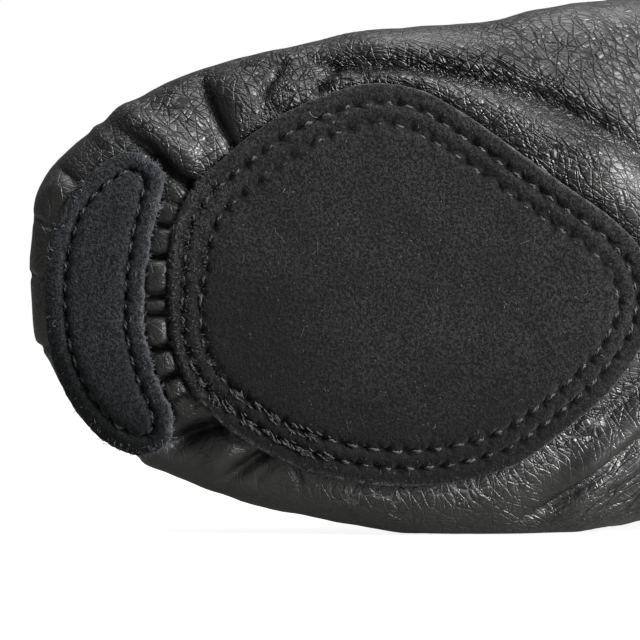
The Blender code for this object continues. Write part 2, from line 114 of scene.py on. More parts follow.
# ---- folds of the leather ---------------------------------------------------------------------------
# Each fold runs through a few stations (d, z), where z goes on round the side of the foot past its widest line.
# "rise" is its height in mm, below zero for a trough. "wide" is its half width at its start and at its end.
# "ends" are the shares of its run over which it fades in and out.
FOLD_COLUMNS = ("name", "run", "rise", "wide", "ends")
FOLDS = (
    # inner side of the toe, pulled together between the crescent and the forefoot sole
    ("toe tuck",            ((14.4, 77.6), (17.0, 75.4), (21.6, 72.6), (25.8, 68.2), (31.4, 64.2)), -3.1, (1.35, 1.15), (0.55, 0.10)),
    ("roll over the tuck",  ((14.0, 81.4), (17.4, 78.6), (22.3, 75.9), (26.6, 72.6), (31.8, 69.0)), 2.2, (2.0, 2.2), (0.35, 0.15)),
    ("roll's back",         ((24.0, 83.5), (28.0, 79.0), (31.0, 74.6)), 0.9, (3.0, 2.4), (0.3, 0.2)),
    ("second tuck",         ((31.0, 86.8), (32.3, 83.6), (34.4, 79.0), (36.3, 75.2), (38.4, 71.4)), -2.6, (1.3, 1.0), (0.35, 0.08)),
    ("wall of the second",  ((34.6, 88.0), (36.9, 83.2), (39.4, 78.2), (41.6, 74.8)), 0.9, (2.0, 1.7), (0.25, 0.15)),
    ("puff one",            ((40.4, 87.2), (39.9, 83.0), (40.2, 78.8)), 0.9, (2.3, 1.9), (0.3, 0.2)),
    ("groove after one",    ((47.8, 89.6), (45.0, 85.6), (43.2, 82.2), (42.4, 79.4)), -1.6, (1.4, 0.9), (0.3, 0.3)),
    ("puff two",            ((50.0, 85.5), (48.2, 82.0), (46.5, 79.0)), 0.8, (2.6, 2.2), (0.3, 0.2)),
    ("groove after two",    ((57.6, 88.6), (54.6, 85.6), (52.4, 81.6)), -1.8, (1.5, 1.2), (0.15, 0.2)),
    ("puff three",          ((60.5, 86.6), (57.6, 85.0), (55.8, 83.0)), 0.8, (1.8, 1.6), (0.2, 0.2)),
    # long valley along the inner side, over the ball and down to the waist
    ("inner valley",        ((50.0, 89.4), (56.5, 88.2), (68.6, 87.6), (81.6, 85.3), (94.5, 81.8), (102.0, 78.6), (109.4, 74.4), (118.0, 67.6), (128.0, 58.0)), -2.9, (1.8, 2.7), (0.12, 0.45)),
    ("band over valley",    ((54.0, 91.8), (63.0, 91.2), (72.0, 90.8), (82.0, 89.2), (90.0, 87.2), (98.0, 84.4), (108.0, 79.4)), 1.7, (1.8, 3.0), (0.2, 0.4)),
    ("inner ball",          ((84.0, 95.5), (92.0, 97.2), (100.0, 99.0), (108.0, 101.0)), 0.6, (4.0, 5.0), (0.4, 0.3)),
    ("band under valley",   ((60.0, 85.6), (71.0, 84.8), (81.0, 82.4), (90.0, 78.6), (98.0, 73.8), (106.0, 68.4)), 1.9, (1.9, 3.2), (0.2, 0.3)),
    ("waist swell",         ((98.0, 73.0), (105.0, 68.6), (112.0, 63.4), (119.0, 57.4), (128.0, 48.0)), 2.2, (3.4, 4.6), (0.30, 0.3)),
    ("waist drape one",     ((118.0, 84.0), (126.0, 74.0), (136.0, 60.0), (146.0, 46.0)), -1.6, (3.4, 4.6), (0.3, 0.3)),
    ("waist drape two",     ((128.0, 92.0), (140.0, 78.0), (152.0, 60.0)), 1.4, (4.0, 5.0), (0.3, 0.3)),
    # outer side behind the forefoot sole
    ("outer ridge",         ((124.0, 30.4), (118.0, 25.3), (112.3, 20.4), (108.0, 16.8), (104.0, 13.4), (99.7, 9.6), (95.0, 7.2)), 3.0, (2.4, 1.8), (0.2, 0.35)),
    ("outer valley",        ((124.0, 26.6), (119.0, 22.3), (113.1, 17.4), (108.2, 13.6), (102.7, 9.3), (96.9, 5.2), (90.0, 2.4)), -2.7, (1.4, 1.0), (0.2, 0.3)),
    ("outer groove",        ((120.0, 33.5), (114.0, 28.4), (109.0, 24.0), (104.0, 20.4)), -1.6, (1.5, 1.0), (0.25, 0.3)),
    ("wall of the valley",  ((120.0, 18.8), (114.0, 14.3), (108.5, 10.2), (102.0, 5.9), (95.5, 1.9)), 1.4, (1.6, 1.2), (0.3, 0.3)),
    ("outer wrinkle one",   ((121.0, 16.6), (114.0, 11.6), (107.0, 6.8), (101.0, 3.0)), -0.8, (0.6, 0.5), (0.3, 0.4)),
    ("outer wrinkle two",   ((121.0, 13.6), (115.0, 9.6), (109.0, 5.6), (104.0, 2.4)), -0.8, (0.6, 0.5), (0.3, 0.4)),
    ("outer wrinkle three", ((121.0, 11.0), (116.0, 7.6), (111.0, 4.2), (107.0, 1.8)), -0.7, (0.6, 0.5), (0.3, 0.4)),
    ("outer wrinkle four",  ((112.0, 12.0), (106.0, 8.2), (100.0, 4.2)), -0.6, (0.5, 0.5), (0.4, 0.4)),
    ("outer waist",         ((104.0, 0.8), (112.0, 1.4), (120.0, 2.4), (130.0, 3.0)), 0.8, (4.0, 5.0), (0.3, 0.3)),
    # outer side of the toe, in front of the forefoot sole
    ("outer toe hollow",    ((23.8, 14.4), (26.4, 16.6), (31.0, 19.2), (36.6, 21.0)), -3.3, (2.9, 2.2), (0.45, 0.05)),
    ("outer toe ridge",     ((31.6, 12.2), (34.7, 14.0), (37.8, 15.9), (40.6, 17.3)), 1.3, (1.6, 1.4), (0.3, 0.45)),
    ("outer toe trough",    ((34.0, 8.0), (37.3, 10.5), (40.8, 13.4), (45.2, 16.4)), -2.6, (2.3, 1.6), (0.55, 0.05)),
    ("trough branch one",   ((36.6, 8.2), (39.4, 11.6), (42.6, 14.4)), 0.5, (0.8, 0.7), (0.3, 0.2)),
    ("trough branch two",   ((41.0, 8.6), (43.2, 11.6), (45.6, 14.0)), -0.7, (0.9, 0.7), (0.3, 0.2)),
    ("thin crease",         ((50.3, 8.0), (50.1, 10.5), (49.2, 13.4)), -1.2, (0.6, 0.6), (0.4, 0.1)),
    ("outer toe pucker",    ((14.0, 12.0), (18.0, 14.0), (21.0, 15.2)), -0.9, (1.4, 1.0), (0.4, 0.1)),
    # front edge of the toe
    ("front pucker one",    ((-0.5, 60.2), (1.8, 58.8), (4.2, 57.2)), -0.8, (0.9, 0.7), (0.5, 0.1)),
    ("front pucker two",    ((4.2, 69.8), (6.2, 67.8), (8.9, 65.6)), -0.9, (0.9, 0.8), (0.5, 0.1)),
    ("front swell",         ((3.2, 66.2), (5.8, 64.2), (7.6, 62.2)), 0.6, (1.6, 1.2), (0.3, 0.2)),
    ("front pucker three",  ((-0.5, 49.4), (1.6, 48.2), (3.4, 47.0)), -0.7, (0.8, 0.6), (0.3, 0.1)),
    ("front pucker four",   ((0.6, 36.0), (2.8, 35.4), (4.6, 35.0)), -0.7, (0.8, 0.6), (0.3, 0.1)),
    ("front pucker five",   ((4.6, 22.6), (7.0, 24.4), (9.2, 26.2)), -0.7, (1.0, 0.7), (0.3, 0.1)),
    ("inner toe corner",    ((0.6, 56.0), (1.6, 62.0), (4.2, 68.0), (8.0, 72.6), (12.0, 75.6)), 0.50, (3.6, 3.2), (0.3, 0.3)),
    ("outer toe corner",    ((0.6, 44.0), (0.8, 37.0), (2.4, 30.0), (6.4, 23.6), (11.0, 18.6)), 0.32, (3.2, 3.2), (0.3, 0.3)),
    ("corner wrinkle",      ((10.2, 78.4), (13.0, 74.6), (15.6, 72.4)), 0.5, (0.9, 0.7), (0.3, 0.2)),
)
# Pleats of the leather between the crescent and the forefoot sole: a dark gap at each height, and a pillow after it.
PLEAT_COLUMNS = ("z_front", "z_back", "depth", "wide", "pillow")
PLEATS = (
    (63.6, 61.4, 0.4, 0.50, 0.2),
    (58.0, 57.4, 2.0, 0.60, 0.5),
    (52.0, 51.8, 2.3, 0.60, 0.9),
    (44.6, 45.0, 2.4, 0.65, 0.6),
    (41.2, 41.6, 2.2, 0.60, 1.0),
    (34.6, 35.8, 2.5, 0.70, 1.0),
    (28.2, 30.8, 2.3, 0.75, 0.8),
    (22.6, 26.4, 0.4, 0.80, 0.2),
)
# How crinkled the grain is at places of the leather: middle and reach in d and z, and the value there.
CRINKLE_COLUMNS = ("name", "middle", "reach", "value")
CRINKLES = (
    ("outer side, smooth",   (62.0, 4.0), (30.0, 8.0), 0.16),
    ("outer ridge",          (110.0, 19.0), (3.6, 3.0), 0.04),
    ("outer ridge, lower",   (105.0, 14.4), (3.6, 3.0), 0.04),
    ("outer ridge's end",    (99.6, 9.8), (3.8, 3.0), 0.06),
    ("outer bundle",         (110.0, 7.6), (13.0, 4.0), 0.14),
    ("wall of the valley",   (112.0, 13.4), (8.0, 2.4), 0.12),
    ("outer corner",         (104.0, 22.0), (5.0, 4.0), 0.60),
    ("outer toe",            (32.0, 14.0), (15.0, 7.0), 0.10),
    ("front of the toe",     (2.0, 45.0), (5.0, 26.0), 0.28),
    ("inner toe corner",     (11.0, 75.0), (6.0, 6.0), 0.30),
    ("roll",                 (26.0, 76.0), (9.0, 6.0), 0.72),
    ("wall of the second",   (36.5, 78.5), (2.2, 8.0), 0.05),
    ("puffs",                (48.0, 83.0), (9.0, 6.0), 0.90),
    ("valley",               (76.0, 86.6), (20.0, 2.6), 1.00),
    ("band over valley",     (72.0, 92.2), (18.0, 1.8), 0.14),
    ("band under valley",    (88.0, 79.4), (12.0, 4.0), 0.55),
    ("waist swell",          (112.0, 65.0), (5.0, 5.0), 0.36),
    ("inner side, back",     (101.0, 91.0), (14.0, 5.5), 0.80),
    ("inner side, top",      (103.0, 99.5), (17.0, 3.6), 0.20),
    ("inner waist",          (108.0, 78.0), (12.0, 12.0), 0.90),
    ("pleats",               (26.0, 45.0), (4.0, 26.0), 0.14),
)
# Where the fine creases run along the edge of the forefoot sole, and where they run out from it like a fan.
RUNS = (
    ("valley",               (74.0, 87.0), (18.0, 3.5), 1.00),
    ("valley's end",         (98.0, 80.0), (9.0, 5.0), 0.90),
    ("outer wrinkles, back", (117.5, 15.2), (3.6, 2.8), 1.00),
    ("outer wrinkles",       (112.5, 11.2), (3.6, 2.8), 1.00),
    ("outer wrinkles, low",  (107.5, 7.4), (3.6, 2.8), 1.00),
    ("outer wrinkles' end",  (102.5, 4.0), (3.6, 2.6), 1.00),
    ("under the wrinkles",   (114.0, 6.6), (5.0, 3.0), 1.00),
)
FANS = (
    ("outer edge",           (66.0, 7.6), (15.0, 2.2), 1.00),
    ("outer edge, back",     (85.0, 9.2), (11.0, 3.0), 1.00),
    ("outer corner",         (99.0, 17.0), (7.0, 4.0), 1.00),
    ("behind the corner",    (108.0, 24.4), (5.0, 3.4), 0.90),
    ("puffs",                (47.0, 82.0), (10.0, 5.0), 0.80),
    ("inner corner",         (98.0, 72.0), (8.0, 5.0), 0.60),
)
# How much the leather shines at places, against the rest of it: raised to brighten the highlights at some, and lowered
# to darken others, as painted highlight and painted shade.
SHINES = (
    ("inner waist",          (105.0, 82.0), (8.0, 6.5), 0.66),
    ("band under valley",    (81.5, 83.0), (10.0, 3.0), 1.75),
    ("roll",                 (25.0, 75.0), (6.0, 5.0), 1.55),
    ("inner toe corner",     (11.5, 70.5), (5.0, 5.0), 0.55),
    ("band over valley",     (76.0, 92.0), (14.0, 2.4), 0.88),
    ("puff one",             (40.0, 82.0), (4.0, 5.0), 0.82),
    ("outer wrinkles",       (112.5, 11.4), (4.0, 3.0), 1.60),
    ("outer wrinkles, low",  (106.0, 7.0), (4.0, 2.8), 1.60),
    ("behind the sole",      (109.0, 26.4), (5.0, 4.0), 0.85),
    ("pleats",               (26.0, 46.0), (3.6, 20.0), 0.52),
    ("under the tuck",       (28.4, 63.6), (3.0, 3.4), 0.40),
)
# Soft flex folds of the parts that lie outside the picture: across the vamp, the ankle and the shaft.
# "at" and "turn" are the middle of the fold, as a share of the way along the boot and round it from the bottom.
SHAFT_FOLD_COLUMNS = ("name", "at", "turn", "slant", "half_length", "rise", "wide")
SHAFT_FOLDS = (
    ("vamp flex one",    0.360, 0.50, 0.00, 0.15, -1.1, 0.0075),
    ("vamp flex two",    0.385, 0.52, 0.02, 0.13, -1.3, 0.0080),
    ("vamp flex three",  0.412, 0.49, -0.02, 0.14, -1.1, 0.0085),
    ("vamp swell",       0.398, 0.50, 0.00, 0.12, 0.9, 0.0070),
    ("instep fold one",  0.560, 0.50, 0.01, 0.17, -1.8, 0.0110),
    ("instep fold two",  0.600, 0.47, -0.03, 0.15, -1.5, 0.0110),
    ("instep swell",     0.580, 0.52, 0.02, 0.15, 1.2, 0.0100),
    ("ankle outer one",  0.700, 0.24, 0.05, 0.09, -1.0, 0.0120),
    ("ankle inner one",  0.690, 0.76, -0.05, 0.10, -1.7, 0.0120),
    ("ankle inner two",  0.735, 0.72, -0.07, 0.11, -1.4, 0.0130),
    ("ankle inner swell", 0.712, 0.74, -0.06, 0.09, 1.1, 0.0110),
    ("ankle front",      0.800, 0.53, 0.02, 0.12, -1.3, 0.0130),
    ("heel cord",        0.830, 0.00, 0.00, 0.08, -1.2, 0.0150),
    ("shaft inner",      0.880, 0.70, -0.06, 0.12, -1.3, 0.0160),
    ("shaft outer",      0.870, 0.30, 0.05, 0.10, -0.8, 0.0160),
    ("shaft front",      0.910, 0.47, 0.03, 0.10, 0.9, 0.0150),
)


# ---- curves, as in the part -------------------------------------------------------------------------
def column(table, columns, name):
    return np.array([row[columns.index(name)] for row in table], float)


def monotone(knots, values, at):
    """A smooth curve through the values that never overshoots them."""
    gaps = np.diff(knots)
    slopes = np.diff(values) / gaps
    tangents = np.zeros(len(values))
    for i in range(1, len(values) - 1):
        if slopes[i - 1] * slopes[i] > 0:
            before, after = 2 * gaps[i] + gaps[i - 1], gaps[i] + 2 * gaps[i - 1]
            tangents[i] = (before + after) / (before / slopes[i - 1] + after / slopes[i])
    tangents[0], tangents[-1] = slopes[0], slopes[-1]
    i = np.clip(np.searchsorted(knots, at, side="right") - 1, 0, len(gaps) - 1)
    f = (at - knots[i]) / gaps[i]
    return ((1 + 2 * f) * (1 - f) ** 2 * values[i] + f * (1 - f) ** 2 * gaps[i] * tangents[i]
            + f * f * (3 - 2 * f) * values[i + 1] + f * f * (f - 1) * gaps[i] * tangents[i + 1])


def not_below(values, least):
    over = values - least
    return least + np.where(over > SOFT, over, np.where(over < -SOFT, 0.0, (over + SOFT) ** 2 / (4 * SOFT)))


def smooth(low, high, values):
    """0 below low, 1 above high, and a soft step between."""
    f = np.clip((values - low) / (high - low), 0.0, 1.0)
    return f * f * (3 - 2 * f)


def closed_curve(points, count):
    """count even points on a smooth closed curve through the points."""
    points = np.array(points, float)
    ahead = np.roll(points, -1, axis=0) - points
    chord = np.hypot(ahead[:, 0], ahead[:, 1])[:, None]
    last = np.roll(chord, 1, axis=0)
    slope = ahead / chord
    tangent = (slope * last + np.roll(slope, 1, axis=0) * chord) / (last + chord)
    f = np.linspace(0, 1, 24, endpoint=False)[None, :, None]
    p, q = points[:, None, :], np.roll(points, -1, axis=0)[:, None, :]
    m, n, c = tangent[:, None, :], np.roll(tangent, -1, axis=0)[:, None, :], chord[:, None, :]
    fine = ((1 + 2 * f) * (1 - f) ** 2 * p + f * (1 - f) ** 2 * c * m + f * f * (3 - 2 * f) * q + f * f * (f - 1) * c * n).reshape(-1, 2)
    return even_points(fine, count)


def even_points(loop, count):
    """count even points round a closed loop."""
    loop = np.vstack([loop, loop[:1]])
    path = np.concatenate([[0.0], np.cumsum(np.hypot(*np.diff(loop, axis=0).T))])
    even = np.linspace(0, path[-1], count, endpoint=False)
    return np.column_stack([np.interp(even, path, loop[:, 0]), np.interp(even, path, loop[:, 1])])


def sole_outline(table, ends, count):
    outer = [(row[0], row[1]) for row in table]
    inner = [(row[0], row[2]) for row in reversed(table)]
    return closed_curve([ends["front"]] + outer + [ends["back"]] + inner, count)


def crescent_outline(table, ends, count):
    front = [(row[1], row[0]) for row in table]
    back = [(row[2], row[0]) for row in reversed(table)]
    return closed_curve([ends["outer"]] + front + [ends["inner"]] + back, count)[::-1]


def inset(outline, distance):
    along = np.roll(outline, -1, axis=0) - np.roll(outline, 1, axis=0)
    along /= np.hypot(along[:, 0], along[:, 1])[:, None]
    return outline + distance * np.column_stack([-along[:, 1], along[:, 0]])


def edge_depth(points, outline):
    """How far inside an outline each point lies, in mm. Below zero is outside."""
    ahead = np.roll(outline, -1, axis=0)
    depth = np.empty(len(points))
    for start in range(0, len(points), 4000):
        p = points[start:start + 4000]
        near = np.sqrt(((p[:, None, :] - outline[None, :, :]) ** 2).sum(axis=2)).min(axis=1)
        y0, y1 = outline[None, :, 1], ahead[None, :, 1]
        crosses = (y0 > p[:, 1:]) != (y1 > p[:, 1:])
        gap = np.where(y1 == y0, 1e-9, y1 - y0)
        at = outline[None, :, 0] + (p[:, 1:] - y0) / gap * (ahead[None, :, 0] - outline[None, :, 0])
        inside = (crosses & (p[:, :1] < at)).sum(axis=1) % 2 == 1
        depth[start:start + 4000] = np.where(inside, near, -near)
    return depth


# ---- the boot's own surface -------------------------------------------------------------------------
SCALES = {"d_bottom": LENGTH, "d_top": LENGTH, "h_bottom": INSTEP_HEIGHT, "h_top": INSTEP_HEIGHT,
          "lateral": BALL_WIDTH, "medial": BALL_WIDTH}
SIZED = {name: column(SECTIONS, SECTION_COLUMNS, name) * SCALES.get(name, 1.0) for name in SECTION_COLUMNS[1:]}
ALONG = np.concatenate([[0.0], np.cumsum(np.sqrt(sum(np.diff(SIZED[name]) ** 2 for name in SCALES)))])


def section_ring(t, low_steps, high_steps):
    """Round the section at t: rows of (d, h, z), the height z carried on round the side, and the way past the widest line."""
    size = {name: float(monotone(ALONG, SIZED[name], np.array([t]))[0]) for name in SECTION_COLUMNS[1:]}
    bottom = np.array([size["d_bottom"], size["h_bottom"]])
    rise = np.array([size["d_top"], size["h_top"]]) - bottom
    tall = math.hypot(rise[0], rise[1])
    middle = size["lateral"] + size["ridge"] * (size["medial"] - size["lateral"])
    turn = np.linspace(0, math.pi / 2, 241)
    rows = []
    for side, lower in (("lateral", True), ("lateral", False), ("medial", False), ("medial", True)):
        square = size["low"] if lower else size["high"]
        out, up = np.sin(turn) ** (2 / square), np.cos(turn) ** (2 / square)
        share = size["belly"] * (1 - up) if lower else size["belly"] + (1 - size["belly"]) * up
        across = (size[side] - middle) * out
        if not lower:
            share, across = share[::-1], across[::-1]     # from the widest line to the middle of the top
        path = np.concatenate([[0.0], np.cumsum(np.hypot(np.diff(share) * tall, np.diff(across)))])
        steps = low_steps if lower else high_steps
        at = steps * path[-1]
        share, across = np.interp(at, path, share), np.interp(at, path, across)
        past = np.zeros(len(at)) if lower else at
        if side == "medial":
            share, across, past = share[::-1], across[::-1], past[::-1]
        rows.append(np.column_stack([share, across, past, np.full(len(at), -1.0 if side == "lateral" else 1.0)]))
    share, across, past, sign = np.concatenate(rows).T
    z = not_below(middle + across, 0.0)
    points = np.column_stack([bottom[0] + share * rise[0], not_below(bottom[1] + share * rise[1], BOTTOM_PLANE), z])
    return points, np.where(past > 0, z_belly(size, sign) + sign * past, z), past


def z_belly(size, sign):
    return np.where(sign < 0, np.maximum(size["lateral"], 0.0), size["medial"])


LOW_COUNT, HIGH_COUNT = 78, 34
AROUND = 2 * (LOW_COUNT + HIGH_COUNT)
u = np.arange(LOW_COUNT) / LOW_COUNT
LOW_STEPS = u * (1.36 - 0.36 * u)                  # closer together towards the side
u = np.arange(HIGH_COUNT) / HIGH_COUNT
HIGH_STEPS = u * (0.5 + 0.5 * u)
# The inner side runs the other way round, so its last step isn't the first of the next quarter.
LOW_STEPS_BACK = np.append(LOW_STEPS[1:], 1.0)
HIGH_STEPS_BACK = np.append(HIGH_STEPS[1:], 1.0)


def ring_at(t):
    """Outer side with its own steps and inner side with the mirrored ones, so that no point comes twice."""
    first, first_z, first_past = section_ring(t, LOW_STEPS, HIGH_STEPS)
    second, second_z, second_past = section_ring(t, LOW_STEPS_BACK, HIGH_STEPS_BACK)
    half = AROUND // 2
    return (np.vstack([first[:half], second[half:]]), np.concatenate([first_z[:half], second_z[half:]]),
            np.concatenate([first_past[:half], second_past[half:]]))


def boot_stations():
    """Places of the fine sections: close together under the foot's front, wider apart behind it."""
    fine = np.linspace(0, ALONG[-1], 6000)
    bottoms = monotone(ALONG, SIZED["d_bottom"], fine)
    rising = slice(0, int(np.argmax(bottoms)) + 1)
    shoulder = float(np.interp(9.4, bottoms[rising], fine[rising]))
    front = float(np.interp(119.0, bottoms[rising], fine[rising]))
    toe = np.linspace(0.0, shoulder, 47)[1:]
    ball = np.interp(np.linspace(9.4, 119.0, 212)[1:], bottoms[rising], fine[rising])
    rest = np.linspace(front, ALONG[-1], 96)[1:]
    return np.concatenate([toe, ball, rest])


STATIONS = boot_stations()
made = [ring_at(t) for t in STATIONS]
BASE = np.array([m[0] for m in made])                   # sections, round, (d, h, z)
CARRIED = np.array([m[1] for m in made])                # z carried on round the side
PAST = np.array([m[2] for m in made])                   # way past the widest line
ROWS = len(STATIONS)
TIP = ring_at(0.0)[0].mean(axis=0)


def loft_faces(rows):
    """Faces of the loft, facing out: a fan round the toe tip, which is point 0, and then band after band."""
    j = np.arange(AROUND)
    fan = np.column_stack([np.zeros(AROUND, int), 1 + (j + 1) % AROUND, 1 + j])
    k = np.arange(rows - 1)[:, None] * AROUND
    a, b = 1 + k + j, 1 + k + (j + 1) % AROUND
    quads = np.stack([a, b, b + AROUND, a + AROUND], axis=2).reshape(-1, 4)
    return fan, quads


def point_normals(points, fan, quads):
    triangles = np.vstack([fan, quads[:, [0, 1, 2]], quads[:, [0, 2, 3]]])
    a, b, c = points[triangles[:, 0]], points[triangles[:, 1]], points[triangles[:, 2]]
    flat = np.cross(b - a, c - a)
    normals = np.zeros_like(points)
    for corner in range(3):
        for axis in range(3):
            normals[:, axis] += np.bincount(triangles[:, corner], flat[:, axis], len(points))
    return normals / np.maximum(np.linalg.norm(normals, axis=1), 1e-12)[:, None]


FAN, QUADS = loft_faces(ROWS)
FLAT_POINTS = np.vstack([[TIP], BASE.reshape(-1, 3)])
FLAT_NORMALS = point_normals(FLAT_POINTS, FAN, QUADS)
NORMALS = FLAT_NORMALS[1:].reshape(ROWS, AROUND, 3)


def in_metres(points):
    return (np.asarray(points) - [LENGTH / 2, COLLAR_HEIGHT / 2, 0.0]) * MM


# ---- outlines ---------------------------------------------------------------------------------------
FOREFOOT_EDGE = sole_outline(FOREFOOT_SOLE, FOREFOOT_ENDS, 560)
HEEL_EDGE = sole_outline(HEEL_SOLE, HEEL_ENDS, 300)
TOE_EDGE = crescent_outline(TOE_PAD, TOE_PAD_ENDS, 330)
INSOLE_EDGE = sole_outline(INSOLE, INSOLE_ENDS, 220)


# ---- fold heights -----------------------------------------------------------------------------------
def curve_through(points, count=70):
    """Even points on a smooth open curve through the points."""
    points = np.array(points, float)
    ends = np.vstack([2 * points[0] - points[1], points, 2 * points[-1] - points[-2]])
    f = np.linspace(0, 1, 24, endpoint=False)[:, None]
    fine = []
    for a, b, c, e in zip(ends, ends[1:], ends[2:], ends[3:]):
        fine.append(0.5 * (2 * b + (c - a) * f + (2 * a - 5 * b + 4 * c - e) * f * f + (3 * b - a - 3 * c + e) * f ** 3))
    fine = np.vstack(fine + [points[-1:]])
    path = np.concatenate([[0.0], np.cumsum(np.sqrt((np.diff(fine, axis=0) ** 2).sum(axis=1)))])
    even = np.linspace(0, path[-1], count)
    return np.column_stack([np.interp(even, path, fine[:, i]) for i in range(fine.shape[1])])


def fold_height(row, d, z):
    """Height of one fold at the stations d and z."""
    fold = dict(zip(FOLD_COLUMNS, row))
    run = curve_through(fold["run"])
    nearest, share = np.full(d.shape, 1e9), np.zeros(d.shape)
    for k, (rd, rz) in enumerate(run):
        away = (d - rd) ** 2 + (z - rz) ** 2
        better = away < nearest
        nearest = np.where(better, away, nearest)
        share = np.where(better, k / (len(run) - 1), share)
    wide = fold["wide"][0] + (fold["wide"][1] - fold["wide"][0]) * share
    start, end = fold["ends"]
    fade = smooth(-0.02, start, share) * smooth(-0.02, end, 1 - share)
    x = np.sqrt(nearest) / wide
    shape = 1.0 / (1.0 + x ** 2) ** 2 if fold["rise"] < 0 else np.exp(-0.5 * x ** 2)
    return fold["rise"] * fade * shape


def soft_noise(points, size, seed, depth=2):
    """Even noise between about -1 and 1, with features of a size in mm."""
    shift = Vector((seed * 17.3, seed * 5.1, seed * 9.7))
    flat = points.reshape(-1, 3) / size
    values = [noise.fractal(Vector(p) + shift, 1.0, 2.0, depth) for p in flat]
    return np.array(values).reshape(points.shape[:-1])


def leather_heights():
    """How far each point of the upper stands out from the last, in mm, and how crinkled and stretched its grain is."""
    d, z = BASE[..., 0], CARRIED
    front_part = smooth(160.0, 136.0, d)
    height = np.zeros(d.shape)
    over_top = np.concatenate([np.zeros(LOW_COUNT), HIGH_STEPS, HIGH_STEPS_BACK[::-1], np.zeros(LOW_COUNT)])[None, :]
    round_side = np.exp(-(PAST / 30.0) ** 2) * smooth(0.95, 0.40, over_top)
    for row in FOLDS:
        height += fold_height(row, d, z)
    height *= round_side * front_part

    under = (np.minimum(np.arange(AROUND), AROUND - 1 - np.arange(AROUND)) <= LOW_COUNT)[None, :] & (d < 244.0)
    flat = np.column_stack([d.ravel(), BASE[..., 2].ravel()])
    toe, ball, heel = (edge_depth(flat, edge[::2]).reshape(d.shape) for edge in (TOE_EDGE, FOREFOOT_EDGE, HEEL_EDGE))
    toe, ball, heel = (np.where(under & (BASE[..., 1] < 22.0), depth, -99.0) for depth in (toe, ball, heel))
    cover = np.maximum(np.maximum(toe, ball), heel)

    # pleats between the two pads
    between = smooth(-1.5, 0.5, np.minimum(4.0 + toe, 4.6 + ball)) * smooth(18.0, 24.0, z) * smooth(70.0, 64.0, z)
    across = np.clip((d - 22.5) / 6.0, 0.0, 1.0)
    rows = [dict(zip(PLEAT_COLUMNS, row)) for row in PLEATS]
    pleat, gaps = np.full(d.shape, 0.45), np.zeros(d.shape)
    for row, after in zip(rows, rows[1:] + rows[-1:]):
        middle = row["z_front"] + (row["z_back"] - row["z_front"]) * across
        below = after["z_front"] + (after["z_back"] - after["z_front"]) * across
        pillow = (middle + below) / 2
        half = np.maximum((middle - below) / 2, 1.0)
        pleat += row["pillow"] * np.exp(-0.5 * ((z - pillow) / (0.84 * half)) ** 6)
        gap = 1.0 / (1.0 + ((z - middle) / row["wide"]) ** 2) ** 2
        pleat -= row["depth"] * gap
        gaps = np.maximum(gaps, gap)
    height += between * pleat

    # the leather rises a little beside each pad, and lies flat under it
    beside = np.exp(-((cover + 2.6) / 1.9) ** 2)
    height += 0.35 * beside
    uneven = soft_noise(BASE, 13.0, 1.0)
    height += 0.28 * uneven * smooth(0.0, 6.0, d)
    height += 0.62 * smooth(6.0, 0.5, d)
    height += 0.10 * soft_noise(BASE, 4.5, 2.0) * smooth(0.0, 6.0, d) * smooth(135.0, 115.0, d)
    height *= smooth(0.7, -0.5, cover)
    height -= 0.25 * smooth(-0.6, 0.6, cover)

    # flex folds of the vamp, ankle and shaft, in shares along and round the boot
    share_along = (STATIONS / ALONG[-1])[:, None]
    round_at = np.concatenate([np.linspace(0, 0.5, AROUND // 2, endpoint=False), np.linspace(0.5, 1.0, AROUND // 2, endpoint=False)])[None, :]
    for row in SHAFT_FOLDS:
        fold = dict(zip(SHAFT_FOLD_COLUMNS, row))
        away = (round_at - fold["turn"] + 0.5) % 1.0 - 0.5
        off = (share_along - fold["at"] - fold["slant"] * away / 0.25 + 0.012 * (away / fold["half_length"]) ** 2) / fold["wide"]
        height += fold["rise"] * np.exp(-0.5 * off ** 2) * np.exp(-0.5 * (away / (0.6 * fold["half_length"])) ** 2) * smooth(0.0, 0.06, share_along - 0.30)
    height += 0.8 * soft_noise(BASE, 42.0, 3.0, 1) * smooth(118.0, 150.0, d) * smooth(0.0, -6.0, cover)

    # turned hem at the collar and the back seam
    top_line = BASE[-1, :, 1][None, :] - BASE[..., 1]
    hem = smooth(12.0, 11.0, top_line) * (share_along > 0.75)
    height += 0.55 * hem - 0.35 * np.exp(-((top_line - 12.2) / 0.9) ** 2) * (share_along > 0.75)

    crinkle = np.clip(spread(CRINKLES, d, z, 0.55, 0.25) + 0.15 * soft_noise(BASE, 20.0, 4.0), 0.04, 1.0)
    # painted shade: how much the shine is lowered in the troughs of the toe's folds and in the pleat gaps
    crease_shade = np.maximum(smooth(-0.8, -3.2, height) * smooth(62.0, 48.0, d), between * smooth(0.15, 0.55, gaps))
    return height, cover, crinkle, crease_shade


def spread(table, d, z, plain, hold):
    """A value all over the leather, drawn to each row's value near its place, and plain elsewhere."""
    total, weight = np.full(d.shape, plain * hold), np.full(d.shape, hold)
    for row in table:
        place = dict(zip(CRINKLE_COLUMNS, row))
        pull = np.exp(-((d - place["middle"][0]) / place["reach"][0]) ** 2 - ((z - place["middle"][1]) / place["reach"][1]) ** 2)
        total, weight = total + pull * place["value"], weight + pull
    return total / weight


